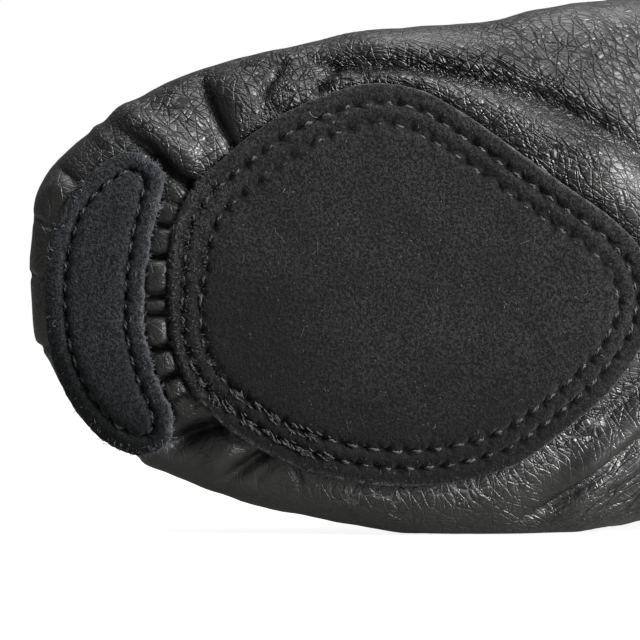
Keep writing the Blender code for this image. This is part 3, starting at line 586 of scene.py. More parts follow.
def sewn_place(edge):
    """Each point's way along an outline and out from it, in mm."""
    flat = np.column_stack([BASE[..., 0].ravel(), CARRIED.ravel()])
    step = np.hypot(*(edge[1] - edge[0]))
    along, out = np.empty(len(flat)), np.empty(len(flat))
    for start in range(0, len(flat), 4000):
        p = flat[start:start + 4000]
        away = ((p[:, None, :] - edge[None, :, :]) ** 2).sum(axis=2)
        i, k = away.argmin(axis=1), np.arange(len(p))
        before, here, after = away[k, i - 1], away[k, i], away[k, (i + 1) % len(edge)]
        along[start:start + 4000] = (i + (before - after) / np.maximum(2 * (before + after - 2 * here), 1e-9)) * step
        out[start:start + 4000] = np.sqrt(here)
    return np.column_stack([along, out, np.zeros(len(flat))])


HEIGHT, COVER, CRINKLE, CREASE_SHADE = leather_heights()
SEWN = sewn_place(FOREFOOT_EDGE)
RUN, FAN_OUT = (spread(table, BASE[..., 0], CARRIED, 0.0, 0.30) for table in (RUNS, FANS))
SHINE = spread(SHINES, BASE[..., 0], CARRIED, 1.0, 0.25)
FAN_OUT = FAN_OUT * smooth(6.6, 3.4, SEWN[:, 1].reshape(FAN_OUT.shape))
OUTER = BASE + NORMALS * HEIGHT[..., None]
OUTER[..., 2] = np.maximum(OUTER[..., 2], FLOOR_GAP)


# ---- materials --------------------------------------------------------------------------------------
class Paint:
    """A node material, built node by node."""

    def __init__(self, name):
        self.material = bpy.data.materials.new(name)
        self.material.use_nodes = True
        self.tree = self.material.node_tree
        self.shader = self.tree.nodes["Principled BSDF"]

    def node(self, kind, links=None, **settings):
        node = self.tree.nodes.new(kind)
        for key, value in settings.items():
            if key.startswith("in_"):
                node.inputs[int(key[3:])].default_value = value
            else:
                setattr(node, key, value)
        for key, source in (links or {}).items():
            self.tree.links.new(source, node.inputs[key])
        return node

    def math(self, operation, a, b=None, clamp=False):
        node = self.node("ShaderNodeMath", operation=operation, use_clamp=clamp)
        for i, value in enumerate((a, b)):
            if value is None:
                continue
            if isinstance(value, (int, float)):
                node.inputs[i].default_value = value
            else:
                self.tree.links.new(value, node.inputs[i])
        return node.outputs[0]

    def range(self, value, low, high, to_low=0.0, to_high=1.0, soft=True):
        node = self.node("ShaderNodeMapRange", {0: value}, interpolation_type="SMOOTHSTEP" if soft else "LINEAR",
                         in_1=low, in_2=high, in_3=to_low, in_4=to_high)
        return node.outputs[0]

    def mix(self, factor, a, b):
        node = self.node("ShaderNodeMix", data_type="RGBA")
        self.tree.links.new(factor, node.inputs[0])
        for i, value in ((6, a), (7, b)):
            if isinstance(value, tuple):
                node.inputs[i].default_value = value
            else:
                self.tree.links.new(value, node.inputs[i])
        return node.outputs[2]

    def noise(self, vector, scale, detail=2.0, rough=0.5):
        return self.node("ShaderNodeTexNoise", {"Vector": vector}, in_2=scale, in_3=detail, in_4=rough).outputs[0]

    def noise_vector(self, vector, scale, detail=1.0):
        return self.node("ShaderNodeTexNoise", {"Vector": vector}, in_2=scale, in_3=detail).outputs[1]

    def edges(self, vector, scale, randomness=1.0):
        node = self.node("ShaderNodeTexVoronoi", {"Vector": vector}, feature="DISTANCE_TO_EDGE")
        node.inputs["Scale"].default_value = scale
        node.inputs["Randomness"].default_value = randomness
        return node.outputs["Distance"]

    def creases(self, vector, scale, width, depth, randomness=1.0):
        """Thin straight creases that meet at corners: 1 between them, and 1 - depth on them."""
        line = self.range(self.edges(vector, scale, randomness), 0.0, width)
        if isinstance(depth, (int, float)):
            return self.range(line, 0.0, 1.0, 1.0 - depth, 1.0, soft=False)
        gap = self.math("MULTIPLY", self.math("SUBTRACT", 1.0, line), depth)
        return self.math("SUBTRACT", 1.0, gap)

    def place(self):
        return self.node("ShaderNodeTexCoord").outputs["Object"]

    def attribute(self, name, output="Fac"):
        return self.node("ShaderNodeAttribute", attribute_name=name).outputs[output]

    def stretch(self, vector, scale, turn=(0.0, 0.0, 0.0)):
        node = self.node("ShaderNodeMapping", {"Vector": vector}, vector_type="TEXTURE")
        node.inputs["Rotation"].default_value = turn
        node.inputs["Scale"].default_value = scale
        return node.outputs[0]

    def warp(self, vector, scale, amount):
        moved = self.noise_vector(vector, scale)
        centred = self.node("ShaderNodeVectorMath", {0: moved}, operation="SUBTRACT", in_1=(0.5, 0.5, 0.5)).outputs[0]
        sized = self.node("ShaderNodeVectorMath", {0: centred}, operation="SCALE", in_3=amount).outputs[0]
        return self.node("ShaderNodeVectorMath", {0: vector, 1: sized}, operation="ADD").outputs[0]

    def bump(self, height, distance, strength=1.0, normal=None):
        node = self.node("ShaderNodeBump", {"Height": height})
        node.inputs["Strength"].default_value = strength
        node.inputs["Distance"].default_value = distance
        if normal is not None:
            self.tree.links.new(normal, node.inputs["Normal"])
        return node.outputs[0]

    def set(self, **values):
        for key, value in values.items():
            socket = self.shader.inputs[key.replace("_", " ")]
            if isinstance(value, (int, float, tuple)):
                socket.default_value = value
            else:
                self.tree.links.new(value, socket)
        return self.material


def leather_material():
    """Thin crossing creases with smooth plates between them, over a broad soft gloss."""
    paint = Paint("upper_leather")
    place = paint.place()
    crinkle, run, fan = paint.attribute("crinkle"), paint.attribute("run"), paint.attribute("fan")
    sewn = paint.attribute("sewn", "Vector")
    bent = paint.warp(place, 170.0, 0.0010)
    here, there = (paint.range(paint.noise(paint.stretch(place, (1, 1, 1), (turn, 0, 0)), 105.0, 2.0), 0.36, 0.60) for turn in (0.4, 1.3))
    grooves = paint.creases(paint.stretch(bent, (4.6, 1, 1), (0.0, 0.55, 0.0)), 540.0, 0.085, here)
    for turn, long, scale, width, depth in ((-0.62, 4.6, 510.0, 0.082, there), (1.35, 4.0, 470.0, 0.076, 0.75), (0.12, 3.0, 900.0, 0.125, 0.50)):
        grooves = paint.math("MULTIPLY", grooves, paint.creases(paint.stretch(bent, (long, 1, 1), (0.0, turn, 0.0)), scale, width, depth))
    # creases along the sole's edge and out from it
    bowed = paint.warp(sewn, 150.0, 0.0022)
    along = paint.creases(paint.stretch(bowed, (8.0, 1, 1)), 580.0, 0.088, run)
    finer = paint.creases(paint.stretch(bowed, (7.0, 1, 1), (0.0, 0.0, 0.10)), 980.0, 0.125, paint.math("MULTIPLY", run, 0.7))
    along = paint.math("MULTIPLY", along, finer)
    out_from = paint.creases(paint.stretch(bowed, (1, 3.0, 1), (0.0, 0.0, 0.30)), 520.0, 0.080, fan, 0.85)
    out_from = paint.math("MULTIPLY", out_from, paint.creases(paint.stretch(bowed, (1, 2.6, 1), (0.0, 0.0, -0.45)), 460.0, 0.070, fan, 0.85))
    height = paint.math("MULTIPLY", grooves, crinkle)
    height = paint.math("ADD", height, paint.math("MULTIPLY", out_from, 0.75))
    height = paint.math("ADD", height, paint.math("MULTIPLY", along, 0.75))
    # painted shade: the shine is lowered in the cores of the creases, in the creases along the sole's edge, in the
    # troughs of the toe's folds and in the pleat gaps; the crease rims get a little more shine, a painted highlight
    core = paint.math("MULTIPLY", paint.range(grooves, 0.55, 0.08), crinkle)
    core = paint.math("MAXIMUM", core, paint.range(along, 0.45, 0.10, 0.0, 0.8))
    core = paint.math("MAXIMUM", core, paint.math("MULTIPLY", paint.attribute("crease_shade"), 0.80))
    pores = paint.noise(place, 4200.0, 2.0, 0.6)
    waves = paint.noise(place, 300.0, 2.0, 0.5)
    normal = paint.bump(waves, 0.00020, 0.35)
    normal = paint.bump(height, 0.00036, 1.0, normal)
    normal = paint.bump(pores, 0.00005, 0.30, normal)
    patchy = paint.noise(place, 60.0, 4.0, 0.6)
    tone = paint.mix(paint.range(patchy, 0.3, 0.7), (0.0042, 0.0042, 0.0041, 1), (0.0062, 0.0062, 0.0060, 1))
    # painted highlight: the creases that run out from the sole's edge are paler, in place of light caught on their
    # walls
    tone = paint.mix(paint.range(out_from, 0.50, 0.08), tone, (0.060, 0.060, 0.060, 1))
    rims = paint.math("MULTIPLY", paint.range(grooves, 0.62, 0.86), paint.range(grooves, 1.0, 0.93))
    gloss = paint.math("MULTIPLY", paint.range(core, 0.0, 0.9, 0.58, 0.10), paint.range(crinkle, 0.15, 0.95, 1.08, 0.70))
    gloss = paint.math("ADD", gloss, paint.math("MULTIPLY", paint.math("MULTIPLY", rims, crinkle), 0.16))
    # painted highlight and painted shade: the shine table scales the reflection at places
    gloss = paint.math("MULTIPLY", gloss, paint.attribute("shine"))
    rough = paint.math("ADD", paint.range(patchy, 0.25, 0.75, 0.40, 0.47), paint.range(pores, 0.3, 0.7, -0.03, 0.03))
    return paint.set(Base_Color=tone, Roughness=rough, Normal=normal, Specular_IOR_Level=gloss, Metallic=0.0,
                     Coat_Weight=0.04, Coat_Roughness=0.30)


def lining_material():
    paint = Paint("upper_lining")
    place = paint.place()
    weave = paint.node("ShaderNodeTexVoronoi", {"Vector": place}, feature="F1")
    weave.inputs["Scale"].default_value = 1300.0
    tone = paint.mix(paint.range(paint.noise(place, 90.0, 4.0), 0.3, 0.7), (0.020, 0.020, 0.021, 1), (0.034, 0.034, 0.036, 1))
    normal = paint.bump(weave.outputs["Distance"], 0.0002, 0.5)
    return paint.set(Base_Color=tone, Roughness=0.85, Normal=normal, Sheen_Weight=0.15, Sheen_Roughness=0.5)


def suede_material(name, dark, light, edge, tone_shift=0.0):
    """Nap of short fibres in two tones, a few pale ones among them, stitch holes darkened with painted shade, painted
    shade towards the bottom and the front, and a paler cut edge that is partly painted highlight.
    """
    paint = Paint(name)
    place = paint.place()
    nap = paint.noise(place, 1500.0, 3.0, 0.65)
    grain = paint.noise(place, 2700.0, 2.0, 0.7)
    drift = paint.noise(place, 95.0, 4.0, 0.6)
    speck = paint.math("ADD", paint.math("MULTIPLY", nap, 0.45), paint.math("MULTIPLY", grain, 0.55))
    tone = paint.mix(paint.range(speck, 0.43, 0.60), dark, light)
    tone = paint.mix(paint.range(drift, 0.35, 0.70, 0.0, 0.40), tone, dark)
    pale = paint.range(paint.noise(place, 3100.0, 1.0, 0.5), 0.71, 0.80, 0.0, 0.8)
    tufts = paint.range(paint.noise(place, 620.0, 3.0, 0.6), 0.40, 0.60, 0.25, 1.0)
    spot = paint.node("ShaderNodeSeparateXYZ", {0: place})
    along, up = spot.outputs[0], spot.outputs[2]
    # painted shade: the suede gets darker towards its bottom, near the floor
    tone = paint.mix(paint.range(up, 0.044, 0.010, 0.0, 0.62), tone, dark)
    # painted shade: darker again towards the front of the lower half, as much as the last argument asks
    front = paint.math("MULTIPLY", paint.range(along, -0.054, -0.084, 0.0, tone_shift), paint.range(up, 0.056, 0.044, 0.0, 1.0))
    tone = paint.mix(front, tone, dark)
    # pale cut edge from the edge attribute: partly the suede's own fibres, partly painted highlight
    fringe = paint.math("MULTIPLY", paint.math("MULTIPLY", paint.attribute("edge"), paint.range(speck, 0.38, 0.62, 0.15, 1.0)), tufts)
    tone = paint.mix(paint.math("MAXIMUM", paint.math("MULTIPLY", pale, 0.3), fringe), tone, edge)
    # painted shade in the stitch holes and along the stitch rows, from the hole attribute
    tone = paint.mix(paint.attribute("hole"), tone, (0.0018, 0.0018, 0.0020, 1))
    normal = paint.bump(nap, 0.00040, 0.65)
    normal = paint.bump(grain, 0.00022, 0.85, normal)
    return paint.set(Base_Color=tone, Roughness=0.95, Normal=normal, Specular_IOR_Level=0.15,
                     Sheen_Weight=0.10, Sheen_Roughness=0.4, Metallic=0.0)


def thread_material(name, dark, light):
    paint = Paint(name)
    strands = paint.noise(paint.place(), 3800.0, 2.0, 0.6)
    level = paint.math("MULTIPLY", paint.range(strands, 0.3, 0.7, 0.35, 1.0), paint.attribute("tone"))
    tone = paint.mix(level, dark, light)
    normal = paint.bump(strands, 0.00012, 0.6)
    return paint.set(Base_Color=tone, Roughness=0.6, Normal=normal, Sheen_Weight=0.15, Sheen_Roughness=0.4)


def fibre_material(name, dark, light):
    paint = Paint(name)
    uneven = paint.range(paint.noise(paint.place(), 900.0, 2.0), 0.3, 0.7, 0.4, 1.0)
    tone = paint.mix(paint.math("MULTIPLY", uneven, paint.attribute("tone")), dark, light)
    return paint.set(Base_Color=tone, Roughness=0.8)


def sock_material():
    paint = Paint("insole_fabric")
    place = paint.place()
    wave = paint.node("ShaderNodeTexWave", {"Vector": paint.stretch(place, (1, 1, 1), (0, 0.785, 0))}, wave_type="BANDS")
    wave.inputs["Scale"].default_value = 480.0
    other = paint.node("ShaderNodeTexWave", {"Vector": paint.stretch(place, (1, 1, 1), (0, -0.785, 0))}, wave_type="BANDS")
    other.inputs["Scale"].default_value = 480.0
    weave = paint.math("MAXIMUM", wave.outputs["Fac"], other.outputs["Fac"])
    tone = paint.mix(paint.range(paint.noise(place, 70.0, 4.0), 0.3, 0.7), (0.036, 0.036, 0.038, 1), (0.056, 0.056, 0.058, 1))
    tone = paint.mix(paint.range(weave, 0.2, 0.9, 0.0, 0.5), (0.02, 0.02, 0.021, 1), tone)
    normal = paint.bump(weave, 0.00018, 0.6)
    return paint.set(Base_Color=tone, Roughness=0.88, Normal=normal, Sheen_Weight=0.1)


LEATHER = leather_material()
LINING = lining_material()
SUEDE = suede_material("sole_suede", (0.0012, 0.0012, 0.0013, 1), (0.0164, 0.0164, 0.0171, 1), (0.240, 0.240, 0.244, 1), 0.62)
TOE_SUEDE = suede_material("toe_suede", (0.0018, 0.0021, 0.0025, 1), (0.0212, 0.0229, 0.0254, 1), (0.062, 0.066, 0.071, 1))
THREAD = thread_material("sole_thread", (0.0028, 0.0029, 0.0032, 1), (0.042, 0.0431, 0.0457, 1))
TOE_THREAD = thread_material("toe_thread", (0.0024, 0.0027, 0.0031, 1), (0.0095, 0.0103, 0.0117, 1))
FIBRE = fibre_material("toe_fibre", (0.024, 0.027, 0.031, 1), (0.12, 0.128, 0.139, 1))
SOLE_FIBRE = fibre_material("sole_fibre", (0.012, 0.013, 0.014, 1), (0.085, 0.088, 0.093, 1))
LINT = fibre_material("lint_fibre", (0.035, 0.035, 0.037, 1), (0.24, 0.24, 0.25, 1))
SOCK = sock_material()


# ---- objects ----------------------------------------------------------------------------------------
def add_mesh(name, points, faces, materials, replaced=None, which=None, attributes=None, smooth_faces=True):
    """A piece of the boot from points in mm and lists of faces."""
    mesh = bpy.data.meshes.new(name)
    points = in_metres(points)
    sizes = [np.full(len(f), f.shape[1]) for f in faces if len(f)]
    corners = np.concatenate([f.ravel() for f in faces if len(f)])
    totals = np.concatenate(sizes)
    mesh.vertices.add(len(points))
    mesh.vertices.foreach_set("co", points.astype(np.float32).ravel())
    mesh.loops.add(len(corners))
    mesh.loops.foreach_set("vertex_index", corners.astype(np.int32))
    mesh.polygons.add(len(totals))
    mesh.polygons.foreach_set("loop_start", np.concatenate([[0], np.cumsum(totals)[:-1]]).astype(np.int32))
    if which is not None:
        mesh.polygons.foreach_set("material_index", which.astype(np.int32))
    mesh.update(calc_edges=True)
    mesh.validate()
    for key, values in (attributes or {}).items():
        values = np.asarray(values, np.float32)
        if values.ndim == 2:
            mesh.attributes.new(key, "FLOAT_VECTOR", "POINT").data.foreach_set("vector", values.ravel())
        else:
            mesh.attributes.new(key, "FLOAT", "POINT").data.foreach_set("value", values)
    for material in materials:
        mesh.materials.append(material)
    if smooth_faces:
        mesh.shade_smooth()
    piece = bpy.data.objects.new(name, mesh)
    bpy.context.scene.collection.objects.link(piece)
    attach(piece, "root")
    if replaced:
        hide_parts(replaced)
    return piece


def build_upper():
    """Leather outside, lining inside and the rim of the collar between them, as one closed wall."""
    outer = np.vstack([[OUTER[0].mean(axis=0)], OUTER.reshape(-1, 3)])
    step = 7
    kept = list(range(ROWS - 1, 0, -step))[::-1]
    # the lining stays a wall's thickness inside the lowest fold nearby
    lowest = np.array([HEIGHT[max(0, k - step):k + step + 1].min(axis=0) for k in kept])
    for shift in (1, -1, 2, -2):
        lowest = np.minimum(lowest, np.roll(lowest, shift, axis=1))
    lining = BASE[kept] + NORMALS[kept] * (lowest - WALL)[..., None]
    lining[..., 2] = np.maximum(lining[..., 2], FLOOR_GAP + WALL * 0.8)
    lining[-1] = OUTER[-1] - NORMALS[-1] * WALL
    tip = TIP + np.array([WALL + 1.0, 0.0, 0.0])
    inner = np.vstack([[tip], lining.reshape(-1, 3)])
    inner_fan, inner_quads = loft_faces(len(kept))
    shift = len(outer)
    j = np.arange(AROUND)
    last_outer = 1 + (ROWS - 1) * AROUND
    last_inner = shift + 1 + (len(kept) - 1) * AROUND
    # two rings round the rim over its crown
    crown = [OUTER[-1] * (1 - f) + lining[-1] * f + np.array([0.0, lift, 0.0]) for f, lift in ((0.22, 0.42), (0.78, 0.42))]
    points = np.vstack([outer, inner] + crown)
    first = shift + len(inner)
    rings = [last_outer, first, first + AROUND, last_inner]
    rim = [np.column_stack([a + j, a + (j + 1) % AROUND, b + (j + 1) % AROUND, b + j]) for a, b in zip(rings, rings[1:])]
    quads = np.vstack([QUADS, inner_quads[:, ::-1] + shift] + rim)
    fans = np.vstack([FAN, inner_fan[:, ::-1] + shift])
    which = np.concatenate([np.zeros(len(FAN)), np.ones(len(inner_fan)), np.zeros(len(QUADS)), np.ones(len(inner_quads)),
                            np.zeros(3 * AROUND)])
    others = np.zeros(len(inner) + 2 * AROUND)
    looks = {name: np.concatenate([[values.ravel()[0]], values.ravel(), others])
             for name, values in (("crinkle", CRINKLE), ("run", RUN), ("fan", FAN_OUT), ("crease_shade", CREASE_SHADE), ("shine", SHINE))}
    looks["shine"][-len(others):] = 1.0
    looks["sewn"] = np.vstack([SEWN[:1], SEWN, np.zeros((len(others), 3))]) * MM
    return add_mesh("upper_leather", points, [fans, quads], [LEATHER, LINING], "upper", which, looks)


# ---- underside of the last, for what is sewn on to it -------------------------------------------------
class Underside:
    """Heights and normals of the boot's underside, before its folds, at any d and z."""

    def __init__(self):
        keep = np.minimum(np.arange(AROUND), AROUND - 1 - np.arange(AROUND)) <= LOW_COUNT
        faces = [tuple(q) for q in QUADS if keep[(q[0] - 1) % AROUND] and keep[(q[1] - 1) % AROUND]]
        self.tree = BVHTree.FromPolygons([tuple(p) for p in FLAT_POINTS], faces)

    def height(self, d, z):
        hit = self.tree.ray_cast(Vector((d, -60.0, z)), Vector((0.0, 1.0, 0.0)))[0]
        if hit is None:
            hit = self.tree.find_nearest(Vector((d, 0.0, z)))[0]
        return hit[1]

    def heights(self, flat):
        return np.array([self.height(d, z) for d, z in flat])

    def frame(self, flat, reach=0.8):
        """Points on the underside and their normals, which point out of the foot."""
        flat = np.asarray(flat, float)
        h = self.heights(flat)
        slope_d = (self.heights(flat + [reach, 0]) - self.heights(flat - [reach, 0])) / (2 * reach)
        slope_z = (self.heights(flat + [0, reach]) - self.heights(flat - [0, reach])) / (2 * reach)
        normals = np.column_stack([slope_d, -np.ones(len(flat)), slope_z])
        normals /= np.linalg.norm(normals, axis=1)[:, None]
        return np.column_stack([flat[:, 0], h, flat[:, 1]]), normals


UNDERSIDE = Underside()


class Pad:
    """A suede piece sewn on to the underside: its outline, its thickness, and the rows of stitches in it."""

    def __init__(self, name, node, slot, edge, thick, material, rows, pitch, spacing, rings, round_off, pale_edge_reach, seed, hole, fray, pale, nearer=0.0, wider=(0.0, 0.0)):
        self.name, self.node, self.slot, self.thick, self.material = name, node, slot, thick, material
        self.rows, self.pitch, self.spacing, self.rings, self.round_off, self.pale_edge_reach = rows, pitch, spacing, rings, round_off, pale_edge_reach
        self.random = np.random.default_rng(seed)
        self.hole = hole                                 # half length, half width, depth of the groove
        self.shade = lambda spot: 1.0 - 0.90 * float(smooth(42.0, 33.0, spot[0]) * smooth(24.0, 32.0, spot[1]))   # thread sunk in the nap
        # the pale cut edge is partly the suede's own paler edge and partly painted highlight, by the way the edge faces
        self.pale = pale                                 # how pale the cut edge is, from the way it faces
        self.near = lambda d: nearer * smooth(38.0, 29.0, d)   # the rows run nearer to the front edge
        # on the inner side the rows lie further in, most of all towards the toe
        self.further = lambda k, edge: wider[k] * smooth(40.0, 53.0, edge[:, 1]) * (1.0 + 0.6 * smooth(52.0, 40.0, edge[:, 0]))
        self.plain = edge
        self.out = inset(edge, -1.0) - edge              # way out of the pad at each point of its outline
        uneven = np.array([0.62 * noise.fractal(Vector((p[0] / 2.6, p[1] / 2.6, seed)), 1.0, 2.0, 2)
                           + 0.55 * noise.noise(Vector((p[0] / 0.9, p[1] / 0.9, seed + 5.0))) for p in edge])
        self.fray = self.out * (uneven * fray(edge, self.out))[:, None]
        self.edge = edge + self.fray
        self.stitches = []
        for k, row in enumerate(rows):
            line = edge - self.out * (row - self.near(edge[:, 0]) + self.further(k, edge))[:, None]
            length = np.hypot(*(np.roll(line, -1, axis=0) - line).T).sum()
            count = int(round(length / pitch))
            self.stitches.append(even_points(line, count))

    def lift(self, depth):
        """Height of the pad's face over the leather, at a depth inside its edge: a cut edge, rounded at its top."""
        full = GAP + self.thick
        f = np.clip(depth / self.round_off, 0.0, 1.0)
        return full * (0.50 + 0.50 * np.sqrt(1 - (1 - f) ** 2))

    def facing(self, flat):
        """The way out of the pad at the nearest point of its outline."""
        out = np.empty((len(flat), 2))
        for start in range(0, len(flat), 4000):
            p = flat[start:start + 4000]
            out[start:start + 4000] = self.out[((p[:, None, :] - self.plain[None, :, :]) ** 2).sum(axis=2).argmin(axis=1)]
        return out

    def make(self):
        edge = self.edge
        rings = [edge]
        for e in self.rings:
            ring = inset(self.plain, e)
            rings.append(ring + self.fray * (1 - e / 1.2) if e < 1.2 else even_points(ring, max(60, int(len(edge) * 0.98))))
        deepest = self.rings[-1]
        low, high = edge.min(axis=0), edge.max(axis=0)
        s = self.spacing
        grid = [(low[0] + s * (i + 0.5 * (k % 2)), low[1] + s * 0.866 * k)
                for k in range(int((high[1] - low[1]) / (s * 0.866)) + 1) for i in range(int((high[0] - low[0]) / s) + 1)]
        grid = np.array(grid)
        grid = grid[edge_depth(grid, edge) > deepest + 0.6 * s]
        flat = np.vstack(rings + [grid])
        count = len(edge)
        border = [(i, (i + 1) % count) for i in range(count)]
        made = geometry.delaunay_2d_cdt([Vector(p) for p in flat], border, [], 1, 1e-5)
        flat = np.array([tuple(p) for p in made[0]])
        faces = np.array([f for f in made[2] if len(f) == 3])
        origin = {}
        for i, sources in enumerate(made[3]):
            for source in sources:
                if source < count:
                    origin[source] = i
        rim = np.array([origin[i] for i in range(count)])
        depth = np.maximum(edge_depth(flat, edge), 0.0)
        depth[rim] = 0.0
        foot, normals = UNDERSIDE.frame(flat)
        lift = self.lift(depth)

        # grooves that the stitches pull in, and a dimple at each hole; hole marks painted shade on the suede in both
        hole = np.zeros(len(flat))
        tree = KDTree(len(flat))
        for i, p in enumerate(flat):
            tree.insert((p[0], p[1], 0.0), i)
        tree.balance()
        long, wide, groove = self.hole
        for row, holes in zip(self.rows, self.stitches):
            off_row = depth - row + self.near(flat[:, 0])
            lift -= groove * np.exp(-(off_row / 0.8) ** 2)
            hole = np.maximum(hole, 0.55 * np.exp(-(off_row / 0.42) ** 2))
            ahead = np.roll(holes, -1, axis=0) - np.roll(holes, 1, axis=0)
            for p, way in zip(holes, ahead / np.hypot(ahead[:, 0], ahead[:, 1])[:, None]):
                rays, phase = self.random.integers(4, 7), self.random.uniform(0, 6.28)
                size = self.random.uniform(0.85, 1.12)
                for _, i, _ in tree.find_range((p[0], p[1], 0.0), 2.4):
                    off = flat[i] - p
                    a, c = off @ way / long, (off[1] * way[0] - off[0] * way[1]) / wide
                    away = math.hypot(a, c) / size / (1.0 + 0.38 * math.cos(rays * math.atan2(c, a) + phase))
                    lift[i] -= 0.85 * math.exp(-(away / 0.9) ** 2)
                    hole[i] = max(hole[i], math.exp(-away ** 4))
        rough = np.array([noise.fractal(Vector((p[0] / 7.0, p[1] / 7.0, self.thick)), 1.0, 2.0, 3) for p in flat])
        ragged = np.array([noise.noise(Vector((p[0] / 1.1, p[1] / 1.1, self.thick))) for p in flat])
        lift += 0.10 * rough * smooth(0.0, 1.5, depth) + 0.16 * ragged * np.exp(-(depth / 0.9) ** 2)
        lift = np.maximum(lift, 0.1)
        # pale cut edge: partly the suede's own colour, partly painted highlight by the way the edge faces
        tone_shift = np.exp(-(depth / self.pale_edge_reach) ** 2) * np.clip(0.7 + 0.8 * rough, 0.0, 1.0) * self.pale(self.facing(flat))
        top = foot + normals * lift[:, None]

        # closed below by a plain face on the leather
        coarse = 5.0
        inner = np.array([(d, z) for d in np.arange(low[0], high[0], coarse) for z in np.arange(low[1], high[1], coarse)])
        inner = inner[edge_depth(inner, edge) > 0.6 * coarse]
        under = geometry.delaunay_2d_cdt([Vector(p) for p in np.vstack([edge, inner])], border, [], 1, 1e-5)
        under_flat = np.array([tuple(p) for p in under[0]])
        under_faces = np.array([f for f in under[2] if len(f) == 3])
        back = {}
        for i, sources in enumerate(under[3]):
            for source in sources:
                if source < count:
                    back[source] = i
        base_rim = np.array([back[i] for i in range(count)])
        under_foot, under_normals = UNDERSIDE.frame(under_flat)
        bottom = under_foot + under_normals * 0.04
        shift = len(top)
        points = np.vstack([top, bottom])
        # faces turned so that the pad faces out of the foot
        a, b, c = top[faces[:, 0]], top[faces[:, 1]], top[faces[:, 2]]
        turn = np.einsum("ij,ij->i", np.cross(b - a, c - a), normals[faces[:, 0]]) < 0
        faces[turn] = faces[turn][:, ::-1]
        a, b, c = bottom[under_faces[:, 0]], bottom[under_faces[:, 1]], bottom[under_faces[:, 2]]
        turn = np.einsum("ij,ij->i", np.cross(b - a, c - a), under_normals[under_faces[:, 0]]) > 0
        under_faces[turn] = under_faces[turn][:, ::-1]
        ahead = np.roll(np.arange(count), -1)
        wall = np.column_stack([rim, rim[ahead], base_rim[ahead] + shift, base_rim + shift])
        middle = edge.mean(axis=0)
        n = np.cross(points[wall[0, 1]] - points[wall[0, 0]], points[wall[0, 3]] - points[wall[0, 0]])
        if n[0] * (edge[0, 0] - middle[0]) + n[2] * (edge[0, 1] - middle[1]) < 0:
            wall = wall[:, ::-1]
        hole_all = np.concatenate([hole, np.zeros(len(bottom))])
        edge_all = np.concatenate([tone_shift, np.ones(len(bottom)) * 0.6])
        return add_mesh(self.name, points, [np.vstack([faces, under_faces + shift]), wall], [self.material], self.node,
                        None, {"hole": hole_all, "edge": edge_all})


# ---- thread -----------------------------------------------------------------------------------------
class Tubes:
    """Many short round strands, gathered into one mesh."""

    def __init__(self, sides=7):
        self.sides, self.points, self.quads, self.caps, self.tones, self.count = sides, [], [], [], [], 0

    def add(self, path, across, up, radius, tone=0.5):
        """A strand along a path, with its own two cross directions, a radius at each point and a tone from 0 to 1."""
        n, k = len(path), self.sides
        self.tones.append(np.full(n * k + 2, tone))
        turn = np.linspace(0, 2 * math.pi, k, endpoint=False)
        ring = path[:, None, :] + (np.cos(turn)[None, :, None] * across[:, None, :] + np.sin(turn)[None, :, None] * up[:, None, :]) * np.asarray(radius)[:, None, None]
        self.points.append(ring.reshape(-1, 3))
        i, j = np.arange(n - 1)[:, None] * k, np.arange(k)[None, :]
        a, b = self.count + i + j, self.count + i + (j + 1) % k
        self.quads.append(np.stack([a, b, b + k, a + k], axis=2).reshape(-1, 4))
        ends = np.array([[self.count + n * k, self.count + n * k + 1]])
        self.points.append(np.array([path[0], path[-1]]))
        j = np.arange(k)
        self.caps.append(np.column_stack([np.full(k, ends[0, 0]), self.count + (j + 1) % k, self.count + j]))
        last = self.count + (n - 1) * k
        self.caps.append(np.column_stack([np.full(k, ends[0, 1]), last + j, last + (j + 1) % k]))
        self.count += n * k + 2

    def make(self, name, material, slot):
        return add_mesh(name, np.vstack(self.points), [np.vstack(self.caps), np.vstack(self.quads)], [material],
                        attributes={"tone": np.concatenate(self.tones)})


def cross_frame(path, normals):
    along = np.gradient(path, axis=0)
    along /= np.maximum(np.linalg.norm(along, axis=1), 1e-9)[:, None]
    across = np.cross(along, normals)
    across /= np.maximum(np.linalg.norm(across, axis=1), 1e-9)[:, None]
    return across, np.cross(across, along)


def twisted_stitch(tubes, path, normals, thick, twist, start, tone, plies=2):
    """A twisted thread along a path: its plies wind round each other."""
    across, up = cross_frame(path, normals)
    length = np.concatenate([[0.0], np.cumsum(np.linalg.norm(np.diff(path, axis=0), axis=1))])
    ply = thick * 0.30
    for k in range(plies):
        angle = start + 2 * math.pi * (k / plies + length / twist)
        off = thick * 0.23
        strand = path + (np.cos(angle)[:, None] * across + np.sin(angle)[:, None] * up) * off
        s_across, s_up = cross_frame(strand, normals)
        taper = 0.72 + 0.28 * np.sin(np.linspace(0.12, math.pi - 0.12, len(path)))
        tubes.add(strand, s_across, s_up, ply * taper, tone)


